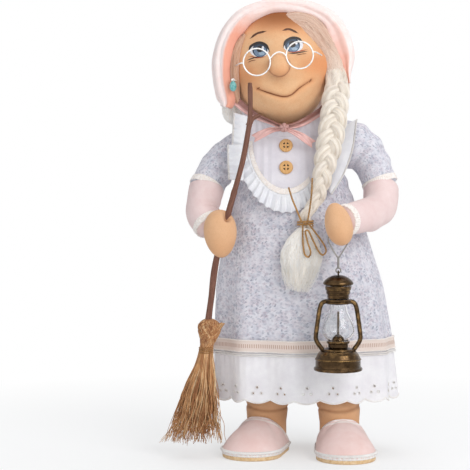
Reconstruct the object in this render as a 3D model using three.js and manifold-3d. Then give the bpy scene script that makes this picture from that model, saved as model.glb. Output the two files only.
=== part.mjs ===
// Befana doll: a standing stuffed doll with bonnet, dress, broom and lantern.
// Millimetres, +Z up. The doll faces -Y, its right hand (broom) is at -X.
import * as THREE from 'three';
import { mergeVertices } from 'three/addons/utils/BufferGeometryUtils.js';
import Module from 'manifold-3d';

const wasm = await Module();
wasm.setup();

// Clearances
const GAP = 0.3;
const CLOTH_SINK = 12;

// Body stations: height, sideways centre, half width and half depth of the dress
const NECKLINE = { z: 291, x: 3, w: 19, d: 17 };
const SHOULDER = { z: 283, x: 8, w: 38, d: 25 };
const CHEST = { z: 255, x: 8, w: 46, d: 33 };
const WAIST = { z: 205, x: 11, w: 62, d: 40 };
const SKIRT = { z: 150, x: 15, w: 75, d: 44 };
const HEM_FLARE = { w: 5, d: 2 };
const HEM = { z: 98, x: 19, w: SKIRT.w + HEM_FLARE.w, d: SKIRT.d + HEM_FLARE.d };
const FLOUNCE_FLARE = 1;
const FLOUNCE_HEM = { z: 48, x: 21, w: HEM.w + FLOUNCE_FLARE, d: HEM.d + FLOUNCE_FLARE };
const DRESS_CLOTH = 2.4;
const FOLD_COUNT = 11;
const SKIRT_FOLD = 1.8;
const FLOUNCE_FOLD = 3;
const SCALLOPS = 22;
const SCALLOP_DEPTH = 3;
const HEM_RIBBON_HEIGHT = 10.5;
const HEM_RIBBON_CLOTH = 1.2;
const NECK_TOP = 304;
const SEAT = { z: 104, w: 42, d: 27 };
const HIP = { z: 128, w: 53, d: 34 };

// Head and bonnet
const HEAD = new THREE.Vector3(-1, -4, 342);
const HEAD_SIZE = new THREE.Vector3(41, 40, 50);
const CHEEK_SWELL = 0.05;
const NOSE_SIZE = new THREE.Vector3(10, 9, 10.3);
const NOSE_OFFSET = new THREE.Vector3(-3, -41, 1);
const CROWN_OFFSET = new THREE.Vector3(1, 14, 4);
const CROWN_SIZE = new THREE.Vector3(58, 48, 57);
const BRIM_Y = -18;
const BRIM_HALF_DEPTH = 10;
const BRIM_CHEEK_ROLL = 10;
const BRIM_BROW_ROLL = 6;
const CROWN_FLOOR = 303;

const LOCK = new THREE.Vector3(-43, 3, 307);
const LOCK_SIZE = new THREE.Vector3(10, 7, 13);

// Spectacles and earring
const LENS_RADIUS = 11.9;
const LENS_SPACING = 37.4;
const LENS_ROLL = 0.16;
const SPECTACLE_WIRE = 0.6;
const SPECTACLE_GAP = 0.18613;
const EARRING = new THREE.Vector3(-44, -32, 331);
const EARRING_PIN = 0.5;
const EARRING_BEAD = new THREE.Vector3(3.1, 3.1, 4.6);

// Chest trims
const BIB_X = 2.5;
const BIB_TOP = 278;
const BIB_HALF_WIDTH = 33;
const BIB_DROP = 47;
const BIB_CLOTH = 1.6;
const LACE_CLOTH = 0.9;
const CHEST_SPREAD = 1.6;
const RUFFLE_REACH = 1.34;
const RUFFLE_WAVES = 11;
const BUTTON_RADIUS = 6;
const BUTTON_THICKNESS = 2.4;
const BUTTON_HEIGHTS = [273, 254];
const FLOUNCE_CLOTH = 1.8;

// Arms
const SLEEVE_RADIUS = 16.5;
const CUFF_LACE_WIDTH = 9;
const CUFF_LACE_CLOTH = 1.4;
const FOREARM_RADIUS = 14.5;
const WRIST_TRIM_WIDTH = 7;
const WRIST_TRIM_CLOTH = 1.4;
const RIGHT_HAND = new THREE.Vector3(-55, -48, 197);
const RIGHT_HAND_SIZE = new THREE.Vector3(14, 12, 20.5);
const LEFT_HAND = new THREE.Vector3(45.4, -76, 206);
const LEFT_HAND_SIZE = new THREE.Vector3(12.5, 13, 17);

// Legs and slippers
const LEG_RADIUS = 20.5;
const DOWEL_RADIUS = 4;
const DOWEL_TOP = 138;
const SOLE_THICKNESS = 4.7;
const HEEL_RADIUS = 20;
const TOE_RADIUS = 26;
const FOOT_REACH = 34;
const INSTEP_RADIUS = 19.6;
const VAMP_TOP = 31.5;
const VAMP_EDGE = { back: -9, front: 17 };
const BINDING_WIDTH = 3.4;
const BINDING_CLOTH = 1.2;

// Broom
const STICK_RADIUS = 2.6;
const STICK_CLEARANCE = 0.5;
const TUFT_RADIUS = 9.4;
const BROOM_WAIST = 5.2;
const THREAD_RADIUS = 0.5;
const THREAD_TURNS = 4;
const THREAD_PITCH = 1.5;
const BRISTLE_RINGS = 10;
const BRISTLE_FAN = new THREE.Vector2(24, 14);
const BUNDLE_LENGTH = 16;

// Twine on the braid
const TWINE_RADIUS = 0.75;
const TWINE_TURNS = 2;
const TWINE_PITCH = 2.1;
const BRAID_TIE = new THREE.Vector3(18.5, -50.5, 206);
const BRAID_TIE_RADIUS = 5.5;

// Lantern, measured upwards from its base
const LANTERN_BASE = 81.5;
const TANK_RADIUS = 20.7;
const TANK_HEIGHT = 19.6;
const BURNER_RADIUS = 9.8;
const BURNER_HEIGHT = 5.3;
const GLASS_BELLY = 14;
const GLASS_NECK = 7.2;
const GLASS_HEIGHT = 31;
const GLASS_WALL = 1.1;
const CROWN_RING_RADIUS = 11;
const CROWN_RING_HEIGHT = 4.2;
const SIDE_TUBE_RADIUS = 1.95;
const SIDE_TUBE_REACH = 19;
const CHIMNEY_RADIUS = 9;
const CHIMNEY_HEIGHT = 10.8;
const CHIMNEY_RIBS = 3;
const CHIMNEY_STEP = 0.9;
const CAP_RADIUS = 12.3;
const CAP_HEIGHT = 9;
const CAP_BRIM = 2.9;
const BAIL_WIRE = 0.6;
const LINK_RADIUS = 2;
const BAIL_HALF_SPAN = 9.4;
const BAIL_DEPTH = 13;
const TWIST_DROP = 16;

// Colours from the object
const COLOURS = {
  skin: 0xe0a987, felt: 0xf3d3cf, hair: 0xd9cdb8, satin: 0xd98f96, wool: 0xe9dcc0, floral: 0xc9bcc6,
  lilac: 0xe6dfe8, lace: 0xe9dcc2, cotton: 0xf2eff0, peach: 0xe6b7a0, rose: 0xe0a7ab, cork: 0xc09a6b,
  twig: 0x8a6a4c, straw: 0xb98a55, thread: 0x6b4a2f, jute: 0xb99a6a, wood: 0xc79a63, wire: 0xd8d8da,
  bead: 0x2fa8ad, pin: 0x4a4038, bronze: 0x5a4a35, glass: 0xdfe8e6, body: 0xe7d3bf,
};

function material(colour, roughness = 0.9, metalness = 0) {
  return new THREE.MeshStandardMaterial({ color: COLOURS[colour], roughness, metalness });
}

const doll = new THREE.Group();

// Solids: closed meshes made from points and triangles, joined and cut
function solidFrom(points, triangles) {
  const seen = new Map();
  const coords = [];
  const merged = points.map((point) => {
    const key = point.toArray().map((value) => value.toFixed(4)).join(' ');
    if (!seen.has(key)) {
      seen.set(key, coords.length / 3);
      coords.push(...point.toArray());
    }
    return seen.get(key);
  });
  const corner = (index) => new THREE.Vector3().fromArray(coords, 3 * index);
  let faces = triangles.map((triangle) => triangle.map((index) => merged[index]));
  faces = faces.filter(([a, b, c]) => a !== b && b !== c && c !== a);
  const volume = faces.reduce((sum, [a, b, c]) => sum + corner(a).dot(corner(b).cross(corner(c))), 0);
  if (volume < 0) {
    faces = faces.map(([a, b, c]) => [a, c, b]);
  }
  const mesh = new wasm.Mesh({
    numProp: 3,
    vertProperties: new Float32Array(coords),
    triVerts: new Uint32Array(faces.flat()),
  });
  return new wasm.Manifold(mesh);
}

function solidFromGeometry(geometry) {
  const bare = geometry.index ? geometry.toNonIndexed() : geometry;
  bare.deleteAttribute('normal');
  bare.deleteAttribute('uv');
  const welded = mergeVertices(bare, 1e-4);
  const place = welded.getAttribute('position');
  const points = [];
  for (let i = 0; i < place.count; i += 1) {
    points.push(new THREE.Vector3().fromBufferAttribute(place, i));
  }
  const order = Array.from(welded.index.array);
  const triangles = [];
  for (let i = 0; i < order.length; i += 3) {
    triangles.push(order.slice(i, i + 3));
  }
  return solidFrom(points, triangles);
}

function addPiece(name, solid, look) {
  const mesh = solid.getMesh();
  const geometry = new THREE.BufferGeometry();
  geometry.setAttribute('position', new THREE.BufferAttribute(mesh.vertProperties, 3));
  geometry.setIndex(new THREE.BufferAttribute(mesh.triVerts, 1));
  geometry.computeVertexNormals();
  const piece = new THREE.Mesh(geometry, look);
  piece.name = name;
  doll.add(piece);
}

// Rings of equal length, capped at both ends or joined end to end as a shell
function loft(rings, shell = false) {
  const count = rings[0].length;
  const points = rings.flat();
  const triangles = [];
  const last = shell ? rings.length : rings.length - 1;
  for (let row = 0; row < last; row += 1) {
    const here = row * count;
    const next = ((row + 1) % rings.length) * count;
    for (let i = 0; i < count; i += 1) {
      const j = (i + 1) % count;
      triangles.push([here + i, here + j, next + j], [here + i, next + j, next + i]);
    }
  }
  if (!shell) {
    capRing(points, triangles, 0, count, false);
    capRing(points, triangles, (rings.length - 1) * count, count, true);
  }
  return solidFrom(points, triangles);
}

function capRing(points, triangles, start, count, last) {
  const middle = new THREE.Vector3();
  for (let i = 0; i < count; i += 1) {
    middle.addScaledVector(points[start + i], 1 / count);
  }
  const hub = points.push(middle) - 1;
  for (let i = 0; i < count; i += 1) {
    const a = start + i;
    const b = start + ((i + 1) % count);
    triangles.push(last ? [a, b, hub] : [b, a, hub]);
  }
}

// A sheet of cloth: a grid of points with a front and a back face
function sheet(columns, rows, pointAt) {
  const points = [];
  for (const side of [0, 1]) {
    for (let i = 0; i <= columns; i += 1) {
      for (let j = 0; j <= rows; j += 1) {
        points.push(pointAt(i / columns, j / rows, side));
      }
    }
  }
  const back = points.length / 2;
  const at = (i, j) => i * (rows + 1) + j;
  const triangles = [];
  const quad = (a, b, c, d) => triangles.push([a, b, c], [a, c, d]);
  for (let i = 0; i < columns; i += 1) {
    for (let j = 0; j < rows; j += 1) {
      const [a, b, c, d] = [at(i, j), at(i + 1, j), at(i + 1, j + 1), at(i, j + 1)];
      quad(a, b, c, d);
      quad(back + d, back + c, back + b, back + a);
    }
  }
  for (let i = 0; i < columns; i += 1) {
    quad(at(i + 1, 0), at(i, 0), back + at(i, 0), back + at(i + 1, 0));
    quad(at(i, rows), at(i + 1, rows), back + at(i + 1, rows), back + at(i, rows));
  }
  for (let j = 0; j < rows; j += 1) {
    quad(at(0, j), at(0, j + 1), back + at(0, j + 1), back + at(0, j));
    quad(at(columns, j + 1), at(columns, j), back + at(columns, j), back + at(columns, j + 1));
  }
  return solidFrom(points, triangles);
}

// Rings square to a curve; sizeAt gives the half width along side and the half depth across it
function sweepRings(curve, steps, sides, side, sizeAt, lengthen = 0) {
  const rings = [];
  for (let step = 0; step <= steps; step += 1) {
    const t = step / steps;
    const centre = curve.getPointAt(t);
    const along = curve.getTangentAt(t);
    const isEnd = step === 0 || step === steps;
    centre.addScaledVector(along, isEnd ? Math.sign(t - 0.5) * lengthen : 0);
    const wide = side.clone().addScaledVector(along, -side.dot(along)).normalize();
    const deep = along.clone().cross(wide);
    const [w, d] = sizeAt(t);
    const ring = [];
    for (let i = 0; i < sides; i += 1) {
      const angle = (2 * Math.PI * i) / sides;
      const point = centre.clone().addScaledVector(wide, w * Math.cos(angle));
      ring.push(point.addScaledVector(deep, d * Math.sin(angle)));
    }
    rings.push(ring);
  }
  return rings;
}

function curveThrough(...points) {
  return new THREE.CatmullRomCurve3(points.map((point) => new THREE.Vector3(...point)));
}

function sweep(curve, steps, sides, side, sizeAt, lengthen = 0) {
  return loft(sweepRings(curve, steps, sides, side, sizeAt, lengthen));
}

// A wire or cord: a round section extruded along its route
function wire(curve, radius, steps, sides = 8) {
  const section = new THREE.Shape();
  for (let i = 0; i < sides; i += 1) {
    const angle = (2 * Math.PI * i) / sides;
    const corner = [radius * Math.cos(angle), radius * Math.sin(angle)];
    if (i === 0) {
      section.moveTo(...corner);
    } else {
      section.lineTo(...corner);
    }
  }
  const options = { steps, bevelEnabled: false, extrudePath: curve };
  return solidFromGeometry(new THREE.ExtrudeGeometry(section, options));
}

// A collar round a limb, lying outside its surface between two places along it
function collar(curve, from, to, sides, side, radiusAt, cloth) {
  const band = new THREE.CatmullRomCurve3([0, 0.5, 1].map((t) => curve.getPointAt(from + t * (to - from))));
  const rings = (extra) => sweepRings(band, 1, sides, side, (t) => {
    const radius = radiusAt(from + t * (to - from)) + extra;
    return [radius, radius];
  });
  const outer = rings(GAP + cloth);
  const inner = rings(GAP).reverse();
  return loft([...outer, ...inner], true);
}

function ellipsoid(centre, size, grow = 0, columns = 20, rows = 14) {
  const geometry = new THREE.SphereGeometry(1, columns, rows);
  geometry.rotateX(Math.PI / 2);
  geometry.scale(size.x + grow, size.y + grow, size.z + grow);
  geometry.translate(centre.x, centre.y, centre.z);
  return solidFromGeometry(geometry);
}

function block(low, high) {
  const size = new THREE.Vector3().subVectors(high, low);
  const geometry = new THREE.BoxGeometry(size.x, size.y, size.z);
  geometry.translate(...new THREE.Vector3().addVectors(low, high).multiplyScalar(0.5).toArray());
  return solidFromGeometry(geometry);
}

// A turned piece: radius and height pairs that start and end on the upright axis
function turned(profile, centre, sides = 20) {
  const geometry = new THREE.LatheGeometry(profile.map(([r, z]) => new THREE.Vector2(r, z)), sides);
  geometry.rotateX(Math.PI / 2);
  geometry.translate(centre.x, centre.y, centre.z);
  return solidFromGeometry(geometry);
}

function ring(centre, radius, tube, turn, around = 10, sides = 5) {
  const geometry = new THREE.TorusGeometry(radius, tube, sides, around);
  geometry.applyMatrix4(new THREE.Matrix4().makeRotationFromEuler(turn));
  geometry.translate(centre.x, centre.y, centre.z);
  return solidFromGeometry(geometry);
}

function cutBy(solid, ...others) {
  return others.reduce((left, other) => left.subtract(other), solid);
}

const X_AXIS = new THREE.Vector3(1, 0, 0);
const Y_AXIS = new THREE.Vector3(0, 1, 0);
const Z_AXIS = new THREE.Vector3(0, 0, 1);
const ease = THREE.MathUtils.smoothstep;
const mix = THREE.MathUtils.lerp;

// Dress surface: sizes run straight between the stations' levels
const LEVELS = [NECKLINE, SHOULDER, CHEST, WAIST, SKIRT, HEM, FLOUNCE_HEM];

function bodyAt(z) {
  let below = LEVELS.findIndex((level) => level.z <= z);
  below = below < 0 ? LEVELS.length - 1 : Math.max(below, 1);
  const [top, bottom] = [LEVELS[below - 1], LEVELS[below]];
  const share = (top.z - z) / (top.z - bottom.z);
  return { x: mix(top.x, bottom.x, share), w: mix(top.w, bottom.w, share), d: mix(top.d, bottom.d, share) };
}

function foldAt(angle, z) {
  const skirt = SKIRT_FOLD * ease(WAIST.z - z, 0, WAIST.z - HEM.z);
  const flounce = (FLOUNCE_FOLD - SKIRT_FOLD) * ease(HEM.z - z, 0, HEM.z - FLOUNCE_HEM.z);
  return (skirt + flounce) * Math.cos(FOLD_COUNT * angle);
}

function dressPoint(angle, z, offset) {
  const { x, w, d } = bodyAt(z);
  const out = foldAt(angle, z) + offset;
  return new THREE.Vector3(x + (w + out) * Math.cos(angle), (d + out) * Math.sin(angle), z);
}

function dressRing(sides, offset, heightAt) {
  const points = [];
  for (let i = 0; i < sides; i += 1) {
    const angle = (2 * Math.PI * i) / sides;
    points.push(dressPoint(angle, heightAt(angle), offset));
  }
  return points;
}

function frontPoint(x, z, offset) {
  const body = bodyAt(z);
  const share = (x - body.x) / (CHEST_SPREAD * (body.w + offset));
  return new THREE.Vector3(x, -(body.d + offset) * Math.sqrt(Math.max(1 - share * share, 0.02)), z);
}

function frontNormal(x, z) {
  const alongX = frontPoint(x + 1, z, 0).sub(frontPoint(x - 1, z, 0));
  const alongZ = frontPoint(x, z + 1, 0).sub(frontPoint(x, z - 1, 0));
  return alongX.cross(alongZ).normalize();
}

// Dress, hem ribbon and hem flounce share one surface, so that each lies on the next
const DRESS_SIDES = 3 * SCALLOPS;

function dressShell() {
  const outer = dressRings(0);
  const inner = dressRings(-DRESS_CLOTH).reverse();
  return loft([...outer, ...inner], true);
}

function dressRings(offset) {
  const levels = [NECKLINE, SHOULDER, CHEST, WAIST, SKIRT, HEM];
  return levels.map(({ z }) => dressRing(DRESS_SIDES, offset, () => z));
}

function hemRibbon() {
  const low = HEM.z - HEM_RIBBON_HEIGHT / 2;
  const high = HEM.z + HEM_RIBBON_HEIGHT / 2;
  const outer = [high, low].map((z) => dressRing(DRESS_SIDES, GAP + HEM_RIBBON_CLOTH, () => z));
  const inner = [low, HEM.z, high].map((z) => dressRing(DRESS_SIDES, GAP, () => z));
  return loft([...outer, ...inner], true);
}

function flounceRings(offset) {
  const top = HEM.z - GAP;
  const scallop = (angle) => FLOUNCE_HEM.z + SCALLOP_DEPTH * (1 - Math.abs(Math.sin((SCALLOPS / 2) * angle)));
  return [0, 0.5, 1].map((share) => (
    dressRing(DRESS_SIDES, offset, (angle) => mix(top, scallop(angle), share))
  ));
}

// Torso: fills the bodice, narrows to the seat, and carries the neck
function torsoForm(grow = 0) {
  const inset = DRESS_CLOTH + GAP;
  const inside = (level) => ({ z: level.z, x: level.x, w: level.w - inset, d: level.d - inset });
  const neck = inside(NECKLINE);
  const stations = [{ ...neck, z: NECK_TOP, x: HEAD.x }, neck, inside(SHOULDER), inside(CHEST)];
  const waist = inside(WAIST);
  stations.push({ ...waist, w: waist.w - GAP, d: waist.d - GAP });
  stations.push({ ...HIP, x: bodyAt(HIP.z).x }, { ...SEAT, x: bodyAt(SEAT.z).x });
  const rings = stations.map(({ z, x, w, d }, row) => {
    const lift = row === 0 ? grow : 0;
    const drop = row === stations.length - 1 ? grow : 0;
    const points = [];
    for (let i = 0; i < DRESS_SIDES; i += 3) {
      const angle = (2 * Math.PI * i) / DRESS_SIDES;
      const reach = [(w + grow) * Math.cos(angle), (d + grow) * Math.sin(angle)];
      points.push(new THREE.Vector3(x + reach[0], reach[1], z + lift - drop));
    }
    return points;
  });
  return loft(rings);
}

// Legs: from the seat down to the soles, each with a wooden dowel inside
const FEET = {
  right: { ankle: new THREE.Vector2(-13.5, -2), hip: new THREE.Vector2(-2, 0), yaw: -0.42 },
  left: { ankle: new THREE.Vector2(51, -14), hip: new THREE.Vector2(36, 0), yaw: 0.1 },
};

function legForm({ ankle, hip }, grow = 0) {
  const foot = SOLE_THICKNESS + GAP;
  const knee = (SEAT.z + foot) / 2;
  const path = curveThrough(
    [hip.x, hip.y, SEAT.z + CLOTH_SINK],
    [mix(hip.x, ankle.x, 0.85), mix(hip.y, ankle.y, 0.85), knee],
    [ankle.x, ankle.y, VAMP_TOP],
    [ankle.x, ankle.y, foot - grow],
  );
  return sweep(path, 6, 14, X_AXIS, (t) => {
    const radius = LEG_RADIUS * (0.86 + 0.14 * Math.sin(Math.PI * Math.min(t * 1.25, 1))) + grow;
    return [radius, radius];
  });
}

function dowelForm({ ankle, hip }, grow = 0) {
  const ends = [[ankle, SOLE_THICKNESS + GAP - grow], [hip, DOWEL_TOP + grow]];
  return loft(ends.map(([centre, z]) => {
    const points = [];
    for (let i = 0; i < 10; i += 1) {
      const spoke = new THREE.Vector3(DOWEL_RADIUS + grow, 0, z);
      spoke.applyAxisAngle(Z_AXIS, (2 * Math.PI * i) / 10);
      points.push(spoke.add(new THREE.Vector3(centre.x, centre.y, 0)));
    }
    return points;
  }));
}

// Slipper outline: a heel round and a toe round with straight sides, by its outward direction
function footPoint({ ankle, yaw }, angle, inset, z) {
  const toward = new THREE.Vector2(Math.sin(yaw), -Math.cos(yaw));
  const normal = new THREE.Vector2(Math.cos(angle), Math.sin(angle));
  const onToe = normal.dot(toward) >= (HEEL_RADIUS - TOE_RADIUS) / FOOT_REACH;
  const centre = ankle.clone().addScaledVector(toward, onToe ? FOOT_REACH : 0);
  centre.addScaledVector(normal, (onToe ? TOE_RADIUS : HEEL_RADIUS) - inset);
  return new THREE.Vector3(centre.x, centre.y, z);
}

function footRing(foot, inset, z, blend = 0, ankleRadius = 0) {
  const points = [];
  const sides = 18;
  for (let i = 0; i < sides; i += 1) {
    const angle = (2 * Math.PI * i) / sides;
    const edge = footPoint(foot, angle, inset, z);
    const ankle = new THREE.Vector3(Math.cos(angle), Math.sin(angle), 0).multiplyScalar(ankleRadius);
    ankle.add(new THREE.Vector3(foot.ankle.x, foot.ankle.y, z));
    points.push(edge.lerp(ankle, blend));
  }
  return points;
}

// Slipper upper: an open-backed vamp, its edge sloping from the instep down to the sole at the heel
function edgePlane({ ankle, yaw }) {
  const slope = new THREE.Vector2(VAMP_EDGE.front - VAMP_EDGE.back, VAMP_TOP - SOLE_THICKNESS);
  slope.normalize();
  const toward = new THREE.Vector3(Math.sin(yaw), -Math.cos(yaw), 0);
  const heel = new THREE.Vector3(ankle.x, ankle.y, SOLE_THICKNESS);
  heel.addScaledVector(toward, VAMP_EDGE.back);
  const normal = toward.multiplyScalar(slope.y).addScaledVector(Z_AXIS, -slope.x);
  return { normal, offset: normal.dot(heel) };
}

function vampForm(foot, grow = 0) {
  const low = SOLE_THICKNESS + GAP;
  const rows = [[0, 1.2], [0.03, 0.6], [0.14, 1], [0.34, 1.2], [0.62, 1], [1, 0]];
  const lifts = [0, 0.2, 0.45, 0.68, 0.86, 1];
  return loft(rows.map(([blend, inset], row) => (
    footRing(foot, inset - grow, mix(low, VAMP_TOP, lifts[row]), blend, INSTEP_RADIUS + grow)
  )));
}

function slipperUpper(foot) {
  const { normal, offset } = edgePlane(foot);
  const vamp = vampForm(foot).trimByPlane(normal.toArray(), offset);
  return cutBy(vamp, legForm(foot, GAP));
}

// The binding lies on the vamp along its edge
function slipperBinding(foot) {
  const { normal, offset } = edgePlane(foot);
  const ahead = vampForm(foot, GAP + BINDING_CLOTH).trimByPlane(normal.toArray(), offset);
  const band = ahead.trimByPlane(normal.negate().toArray(), -(offset + BINDING_WIDTH));
  return cutBy(band, vampForm(foot, GAP));
}

// Head, nose and bonnet
function headForm(grow = 0) {
  const geometry = new THREE.SphereGeometry(1, 20, 14);
  geometry.rotateX(Math.PI / 2);
  const place = geometry.getAttribute('position');
  for (let i = 0; i < place.count; i += 1) {
    const swell = 1 - CHEEK_SWELL * place.getZ(i);
    place.setX(i, place.getX(i) * swell);
    place.setY(i, place.getY(i) * swell);
  }
  geometry.scale(HEAD_SIZE.x + grow, HEAD_SIZE.y + grow, HEAD_SIZE.z + grow);
  geometry.translate(HEAD.x, HEAD.y, HEAD.z);
  return solidFromGeometry(geometry);
}

const NOSE = HEAD.clone().add(NOSE_OFFSET);
const CROWN = HEAD.clone().add(CROWN_OFFSET);
const FAR = 200;

function crownForm(grow = 0) {
  const front = BRIM_Y + BRIM_HALF_DEPTH + GAP - grow;
  const box = block(
    new THREE.Vector3(-FAR, front, CROWN_FLOOR - grow),
    new THREE.Vector3(FAR, FAR, CROWN.z + FAR),
  );
  const dome = ellipsoid(CROWN, CROWN_SIZE, grow, 18, 12);
  return dome.intersect(box).subtract(headForm(GAP - grow));
}

// The brim is a soft roll that frames the face, thick at the right cheek and thin over the brow
const BRIM_PATH = curveThrough(
  [-49, BRIM_Y, 313], [-53, BRIM_Y, 336], [-50.5, BRIM_Y, 363], [-35, BRIM_Y, 387], [-6, BRIM_Y, 398],
  [24, BRIM_Y, 395], [46, BRIM_Y, 382], [57, BRIM_Y, 359], [56.5, BRIM_Y, 338],
);

function brimForm(grow = 0) {
  const thick = (t) => {
    const roll = mix(BRIM_CHEEK_ROLL, BRIM_BROW_ROLL, ease(t, 0.15, 0.5));
    return roll * (0.72 + 0.28 * Math.sin(Math.PI * mix(0.16, 0.84, t)));
  };
  return sweep(BRIM_PATH, 14, 9, Y_AXIS, (t) => [BRIM_HALF_DEPTH + grow, thick(t) + grow], grow);
}

const HAIR_PATH = curveThrough(
  [-7, -19, 391.5], [15, -27, 385], [35, -28, 368], [44, -25, 345], [44.5, -24.5, 311],
);

function hairForm(grow = 0) {
  return sweep(HAIR_PATH, 7, 8, Y_AXIS, (t) => {
    const swell = mix(0.25, 1, ease(t, 0, 0.45));
    return [8 * swell + grow, 10.5 * swell + grow];
  }, grow);
}

// Braid: a plait whose three strands bulge in turn, tied at its lower end
const BRAID_PATH = curveThrough(
  [43.5, -30, 313], [41, -43, 285], [36, -48, 258], [29, -49, 228],
  [BRAID_TIE.x + 1, BRAID_TIE.y, BRAID_TIE.z + 8], [BRAID_TIE.x, BRAID_TIE.y, BRAID_TIE.z - 4],
);
const BRAID_LOBES = 8;

function braidForm(grow = 0) {
  return sweep(BRAID_PATH, 24, 8, X_AXIS, (t) => {
    const lobe = 1 + 0.09 * Math.cos(2 * Math.PI * BRAID_LOBES * t) * (1 - ease(t, 0.8, 0.88));
    const taper = mix(12, BRAID_TIE_RADIUS, ease(t, 0.2, 0.9));
    return [taper * lobe + grow, mix(8.5, BRAID_TIE_RADIUS, ease(t, 0.3, 0.9)) * lobe + grow];
  });
}

function braidTail() {
  const top = BRAID_TIE.z - 4 - GAP;
  const path = curveThrough([BRAID_TIE.x, BRAID_TIE.y, top], [14, -52, 180], [12, -53, 147]);
  return sweep(path, 8, 10, X_AXIS, (t) => {
    const open = mix(BRAID_TIE_RADIUS, 18, ease(t, 0, 0.45));
    const close = Math.sqrt(Math.max(1 - ((t - 0.6) / 0.42) ** 2, 0.05));
    return [open * (t > 0.6 ? close : 1), mix(BRAID_TIE_RADIUS, 6, t) * (t > 0.6 ? close : 1)];
  });
}

// One unbroken helix round an upright axis; prints the least gap between its turns
class Helix extends THREE.Curve {
  constructor(centre, radius, turns, pitch) {
    super();
    Object.assign(this, { centre, radius, turns, pitch });
  }

  getPoint(t) {
    const angle = 2 * Math.PI * this.turns * t;
    const rise = this.pitch * this.turns * (t - 0.5);
    const spoke = [this.radius * Math.cos(angle), this.radius * Math.sin(angle)];
    return new THREE.Vector3(this.centre.x + spoke[0], this.centre.y + spoke[1], this.centre.z + rise);
  }
}

function winding(name, centre, coreRadius, threadRadius, turns, pitch) {
  const helix = new Helix(centre, coreRadius + GAP + threadRadius, turns, pitch);
  const samples = helix.getPoints(turns * 48);
  let least = Infinity;
  for (let i = 0; i < samples.length; i += 1) {
    for (let j = i + 36; j < samples.length; j += 1) {
      least = Math.min(least, samples[i].distanceTo(samples[j]));
    }
  }
  console.log(`${name}: least gap between turns ${(least - 2 * threadRadius).toFixed(2)} mm`);
  return wire(helix, threadRadius, turns * 16, 5);
}

// Chest trims lie on the dress: a half-round bib with lace and ruffle round its edge
function bibPoint(reach, angle, offset) {
  const x = BIB_X + reach * BIB_HALF_WIDTH * Math.cos(angle);
  const z = BIB_TOP - reach * BIB_DROP * Math.sin(angle);
  return frontPoint(x, z, offset);
}

function bibForm() {
  return sheet(14, 4, (u, v, side) => bibPoint(v, Math.PI * u, GAP + side * BIB_CLOTH));
}

const TRIM_START = 0.85;

function trimBand(columns, inner, outer, offsetAt) {
  return sheet(columns, 1, (u, v, side) => {
    const angle = mix(TRIM_START, Math.PI, u);
    return bibPoint(mix(inner, outer, v), angle, offsetAt(u, v, side));
  });
}

function laceForm() {
  const low = 2 * GAP + BIB_CLOTH;
  return trimBand(18, 0.86, 0.99, (u, v, side) => low + side * LACE_CLOTH);
}

function ruffleForm() {
  return trimBand(3 * RUFFLE_WAVES, 1 + GAP / 10, RUFFLE_REACH, (u, v, side) => {
    const wave = v * (1 + Math.cos(2 * Math.PI * RUFFLE_WAVES * u));
    return GAP + wave + side * BIB_CLOTH;
  });
}

function button(height) {
  const seat = frontPoint(BIB_X, height, 0);
  const normal = frontNormal(BIB_X, height);
  const lift = 2.4 * GAP + BIB_CLOTH;
  const path = new THREE.LineCurve3(
    seat.clone().addScaledVector(normal, lift),
    seat.clone().addScaledVector(normal, lift + BUTTON_THICKNESS),
  );
  const disc = sweep(path, 3, 12, X_AXIS, (t) => {
    const radius = BUTTON_RADIUS - (t === 0 || t === 1 ? 0.5 : 0);
    return [radius, radius];
  });
  const hole = (across, up) => {
    const middle = seat.clone().add(new THREE.Vector3(across, 0, up));
    const through = new THREE.LineCurve3(
      middle.clone().addScaledVector(normal, -1),
      middle.clone().addScaledVector(normal, 2 * BUTTON_THICKNESS + lift),
    );
    return sweep(through, 1, 4, X_AXIS, () => [BUTTON_RADIUS / 8, BUTTON_RADIUS / 8]);
  };
  const spread = BUTTON_RADIUS / 4;
  const holes = [[-1, -1], [1, -1], [1, 1], [-1, 1]].map(([a, b]) => hole(a * spread, b * spread));
  return cutBy(disc, ...holes);
}

// A place on the front of the dress, just clear of its cloth
function onDress(x, z) {
  const body = bodyAt(z);
  const share = (x - body.x) / body.w;
  return [x, -body.d * Math.sqrt(1 - share * share) - GAP, z];
}

// A shoulder flounce hangs free between an inner edge on the dress and its piped outer edge
function shoulderFlounce(inner, outer, folds, bulge) {
  return sheet(5, 8, (u, v, side) => {
    const point = inner.getPoint(v).lerp(outer.getPoint(v), u);
    const puff = bulge * Math.sin(Math.PI * u) + Math.abs(Math.sin(Math.PI * folds * v)) * 2 * u;
    point.y -= puff + side * FLOUNCE_CLOTH;
    return point;
  });
}

const FLOUNCE_MIDDLE = 264;
const FLOUNCE_END = 236;
const LEFT_FLOUNCE = [
  curveThrough(onDress(37, SHOULDER.z), onDress(37, FLOUNCE_MIDDLE), onDress(38, FLOUNCE_END)),
  curveThrough([65, -23, 297], [61, -28, 271], [53, -32, 249], [42, -36, 231]),
];
const RIGHT_FLOUNCE = [
  curveThrough([-30, -25.5, 303], [-31, -30, 272], [-35, -33.4, 241]),
  curveThrough([-44, -22.5, 301], [-46, -27, 276], [-50, -30.4, 241]),
];

// Arms: sleeve, elbow lace, forearm, wrist trim and hand
const ARMS = {
  right: {
    sleeve: curveThrough([-24, 0, 280], [-54, -3, 258], [-69, -14, 235]),
    forearm: curveThrough([-70, -15, 233], [-71, -24, 215], [-64, -35, 202]),
    hand: RIGHT_HAND,
    handSize: RIGHT_HAND_SIZE,
  },
  left: {
    sleeve: curveThrough([40, -2, 285], [74, -5, 267], [88, -13, 238]),
    forearm: curveThrough([88, -14, 236], [82, -34, 217], [53, -67.5, 209.5]),
    hand: LEFT_HAND,
    handSize: LEFT_HAND_SIZE,
  },
};

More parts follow.
